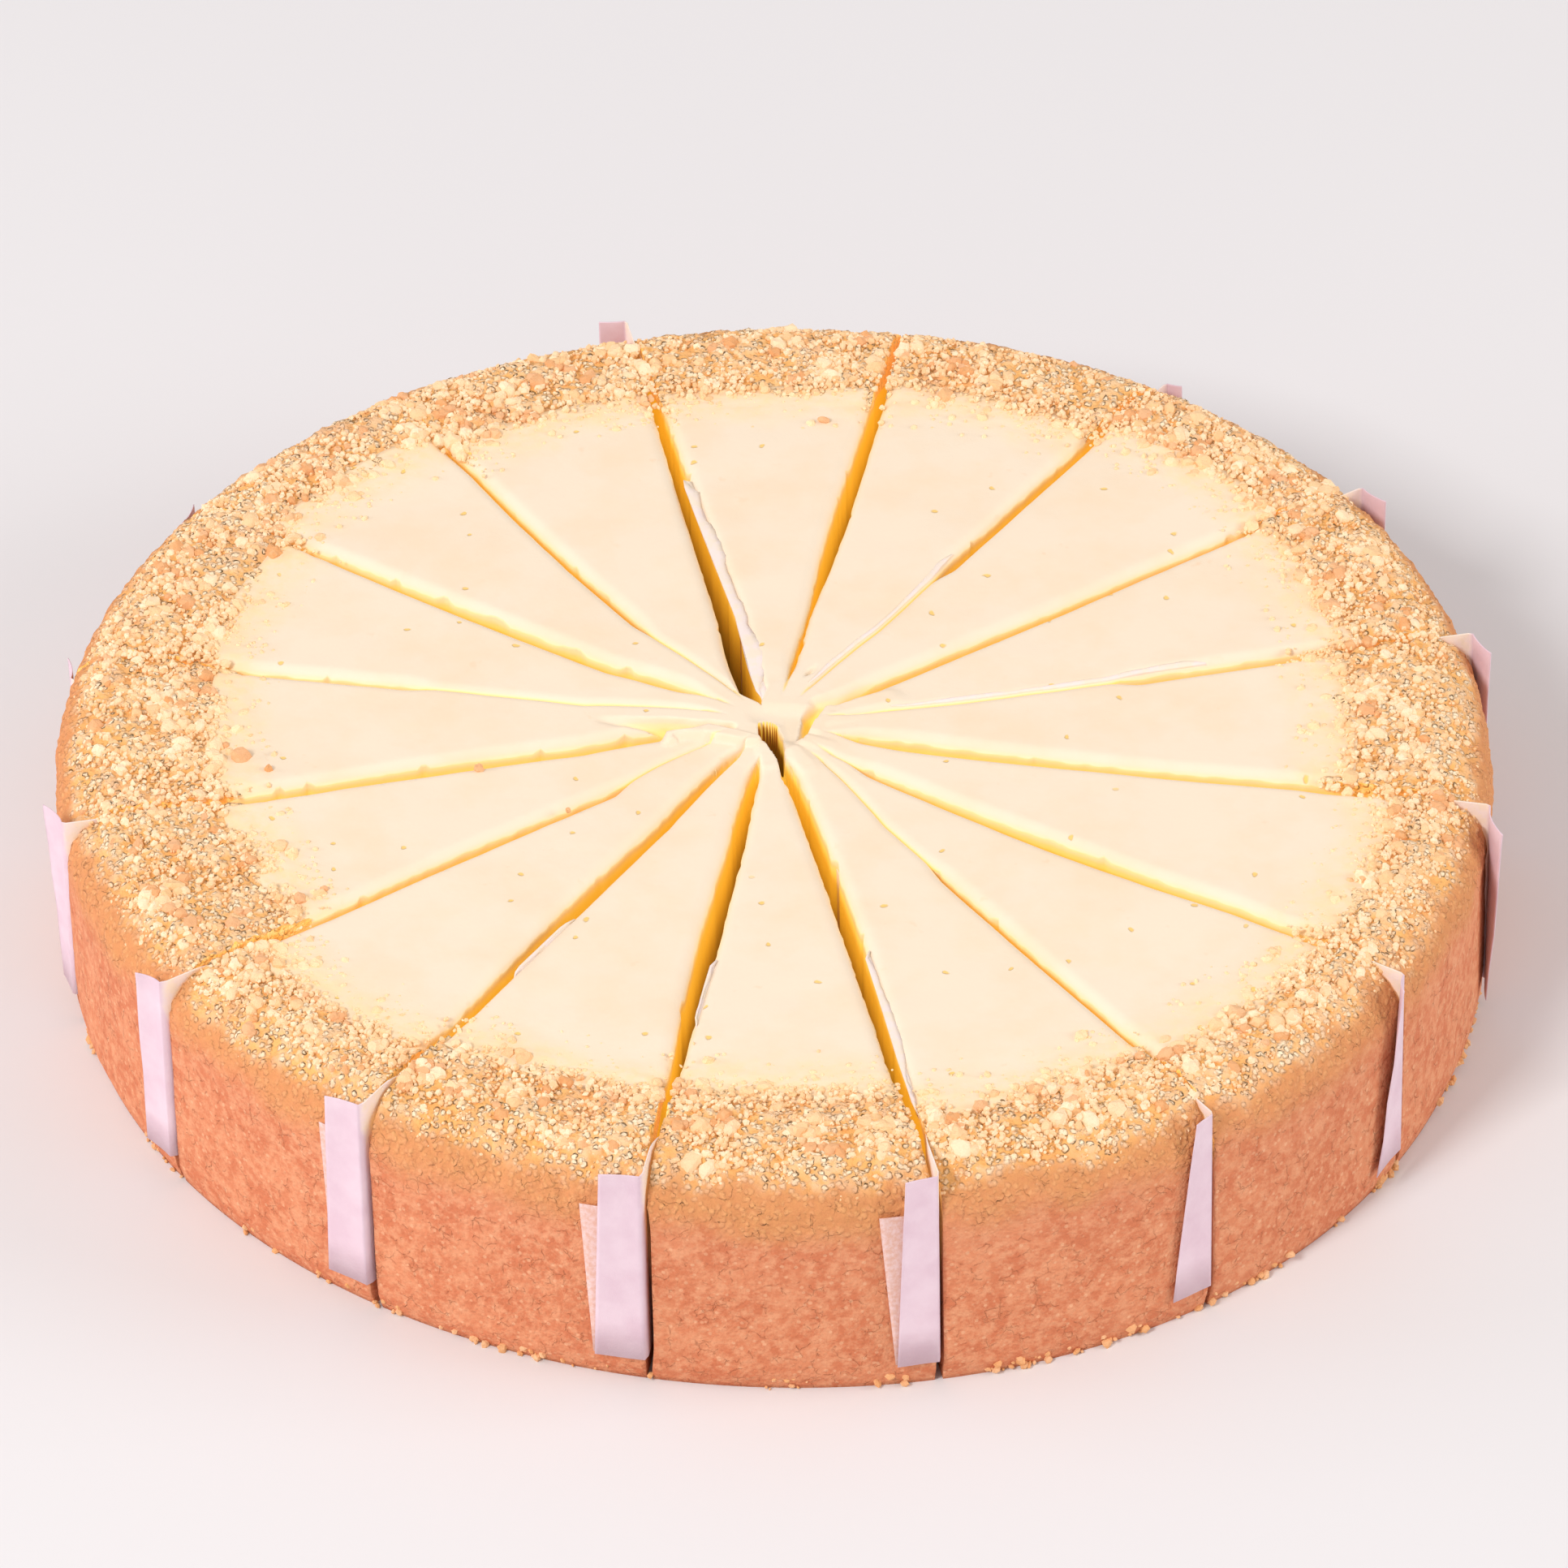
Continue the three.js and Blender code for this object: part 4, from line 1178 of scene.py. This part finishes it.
def crust_material():
    shader = Shader("crumb_crust_baked")
    loose, cut, pale = shader.value("loose"), shader.value("cut"), shader.value("pale")
    granule = shader.cells(GRANULE_SIZE, vector=shader.warped(1.4, 0.9))
    granule = shader.rise(granule, 0.2, 0.62, 1.0, 0.0)
    relief = shader.times(shader.value("relief"), 0.5)
    high = shader.maths("ADD", shader.times(granule, 0.55), relief)
    cracks = crack_mask(shader)
    colour = shader.mix(loose, side_colour(shader, granule, cracks), crumb_colour(shader, high))
    colour = shader.mix(shader.times(shader.value("edge"), 0.75), colour, CHEESE_EDGE)
    inside = shader.mottle(INSIDE_DEEP, INSIDE_PALE, shader.noise(1.2, 3), 0.4, 0.65)
    colour = shader.mix(cut, colour, shader.mix(pale, SIDE_BODY, inside))
    gap_glow = shader.rise(high, 0.15, 0.6, GAP_GLOW_STRENGTH, CRUMB_GLOW_STRENGTH)
    gap_glow = shader.times(shader.span(cut, 0, 1, 1, 0), shader.times(gap_glow, loose))
    cut_glow = shader.times(cut, shader.times(pale, CUT_GLOW_STRENGTH))
    shader.glow(GAP_GLOW, shader.maths("ADD", gap_glow, cut_glow))
    normal = crust_bump(shader, granule, cracks, loose)
    return shader.finish(colour, 0.82, normal, Specular_IOR_Level=0.25)


def crack_mask(shader):
    """Short curved cracks: parts of the borders between uneven cells."""
    vector = shader.warped(1.6, 1.6)
    edge = shader.cells(CRACK_SPACING, "DISTANCE_TO_EDGE", "Distance", vector)
    line = shader.rise(edge, 0.01, 0.045, 1.0, 0.0)
    return shader.times(line, shader.span(shader.noise(3.1, 2), 0.52, 0.6))


def crumb_material(name, pale, deep):
    shader = Shader(name)
    shade = shader.value("shade")
    colour = shader.mix(shade, deep, pale)
    colour = shader.mottle(colour, CRUMB_BODY, shader.noise(1.3, 3), 0.5, 0.72, 0.35)
    colour = shader.mix(shader.span(shader.value("soaked"), 0, 1, 0, 0.6), colour, CHEESE_EDGE)
    normal = shader.bump(shader.noise(0.5, 3, 0.7), 0.25)
    shader.glow(CRUMB_GLOW, CRUMB_GLOW_STRENGTH)
    return shader.finish(colour, 0.8, normal, Specular_IOR_Level=0.15)


def paper_material():
    shader = Shader("waxed_paper")
    veil = shader.value("veil")
    fibre = shader.noise(0.6, 4, 0.7)
    colour = shader.mottle(PAPER, PAPER_PALE, shader.noise(6, 3), 0.35, 0.65)
    soaked = shader.mottle(PAPER_GREASY, PAPER_DAMP, shader.noise(0.9, 4, 0.7), 0.4, 0.62)
    colour = shader.mix(shader.times(veil, 0.85), colour, soaked)
    smeared = shader.times(shader.value("smear"), shader.span(shader.noise(3.0, 3), 0.42, 0.6))
    colour = shader.mix(shader.times(shader.value("smear"), 0.75), colour, PAPER_SMEAR)
    colour = shader.mix(shader.times(smeared, 0.8), colour, CREAM)
    normal = shader.bump(fibre, 0.05)
    return shader.finish(colour, 0.55, normal, Specular_IOR_Level=0.4)


def floor_material():
    shader = Shader("studio_floor")
    colour = shader.mix(shader.noise(400, 2), FLOOR_PALE, FLOOR_LIGHT)
    return shader.finish(colour, 0.9, shader.bump(shader.noise(3, 2), 0.02), Specular_IOR_Level=0.1)


# Stage, in metres

FLOOR_HALF = 3.0

# Soft lights: direction and height in degrees, distance, size, power and colour
LIGHTS = (
    ("key", 232, 42, 3.0, 0.75, 48, (1, 1, 1)),
    ("fill", -10, 22, 2.5, 1.2, 24, (1, 1, 1)),
    ("left", 180, 14, 2.5, 1.2, 19, (1.0, 0.92, 0.96)),
)
SKY = (1.0, 0.96, 0.95, 1)
SKY_STRENGTH = 0.6


def floor():
    mesh = bpy.data.meshes.new("floor")
    corners = ((-1, -1, 0), (1, -1, 0), (1, 1, 0), (-1, 1, 0))
    mesh.from_pydata((np.array(corners) * FLOOR_HALF).tolist(), [], [(0, 1, 2, 3)])
    mesh.materials.append(floor_material())
    made = bpy.data.objects.new("floor", mesh)
    bpy.context.collection.objects.link(made)


def area_light(name, azimuth, elevation, distance, size, power, colour):
    light = bpy.data.lights.new(name, "AREA")
    light.energy = power
    light.size = size
    light.color = colour
    made = bpy.data.objects.new(name, light)
    a, e = math.radians(azimuth), math.radians(elevation)
    out = np.array([math.cos(e) * math.cos(a), math.cos(e) * math.sin(a), math.sin(e)])
    made.location = out * distance
    made.rotation_euler = (math.pi / 2 - e, 0, a + math.pi / 2)
    bpy.context.collection.objects.link(made)


def lights():
    world = bpy.data.worlds.new("studio")
    world.use_nodes = True
    background = world.node_tree.nodes["Background"]
    background.inputs["Color"].default_value = SKY
    background.inputs["Strength"].default_value = SKY_STRENGTH
    bpy.context.scene.world = world
    for light in LIGHTS:
        area_light(*light)


def camera():
    e, roll = math.radians(CAMERA_ELEVATION), math.radians(CAMERA_ROLL)
    back = np.array([0, -math.cos(e), math.sin(e)])
    level = np.array([1.0, 0, 0])
    up = np.array([0, math.sin(e), math.cos(e)])
    right = math.cos(roll) * level + math.sin(roll) * up
    upward = -math.sin(roll) * level + math.cos(roll) * up
    data = bpy.data.cameras.new("camera")
    data.lens = CAMERA_LENS
    data.sensor_width = SENSOR
    data.sensor_fit = "HORIZONTAL"
    data.clip_end = 20
    made = bpy.data.objects.new("camera", data)
    spot = (np.array(CAMERA_TARGET) + back * CAMERA_DISTANCE) * MM
    rows = np.eye(4)
    rows[:3, 0], rows[:3, 1], rows[:3, 2], rows[:3, 3] = right, upward, back, spot
    made.matrix_world = Matrix(rows.tolist())
    bpy.context.collection.objects.link(made)
    bpy.context.scene.camera = made


def build():
    cheese = cheese_material()
    crust = crust_material()
    paper = paper_material()
    crumbs = {name: crumb_material(name, *colours) for name, colours in CRUMB_COLOURS.items()}
    for index in range(SLICES):
        filling_piece(index, cheese)
        crust_piece(index, crust)
        paper_piece(index, paper)
    patch_piece(cheese)
    crumb_pieces(crumbs)
    foot_crumbs(crumbs["crumb_toasted"])
    floor()
    lights()
    camera()
    bpy.context.scene.view_settings.view_transform = "Standard"


build()
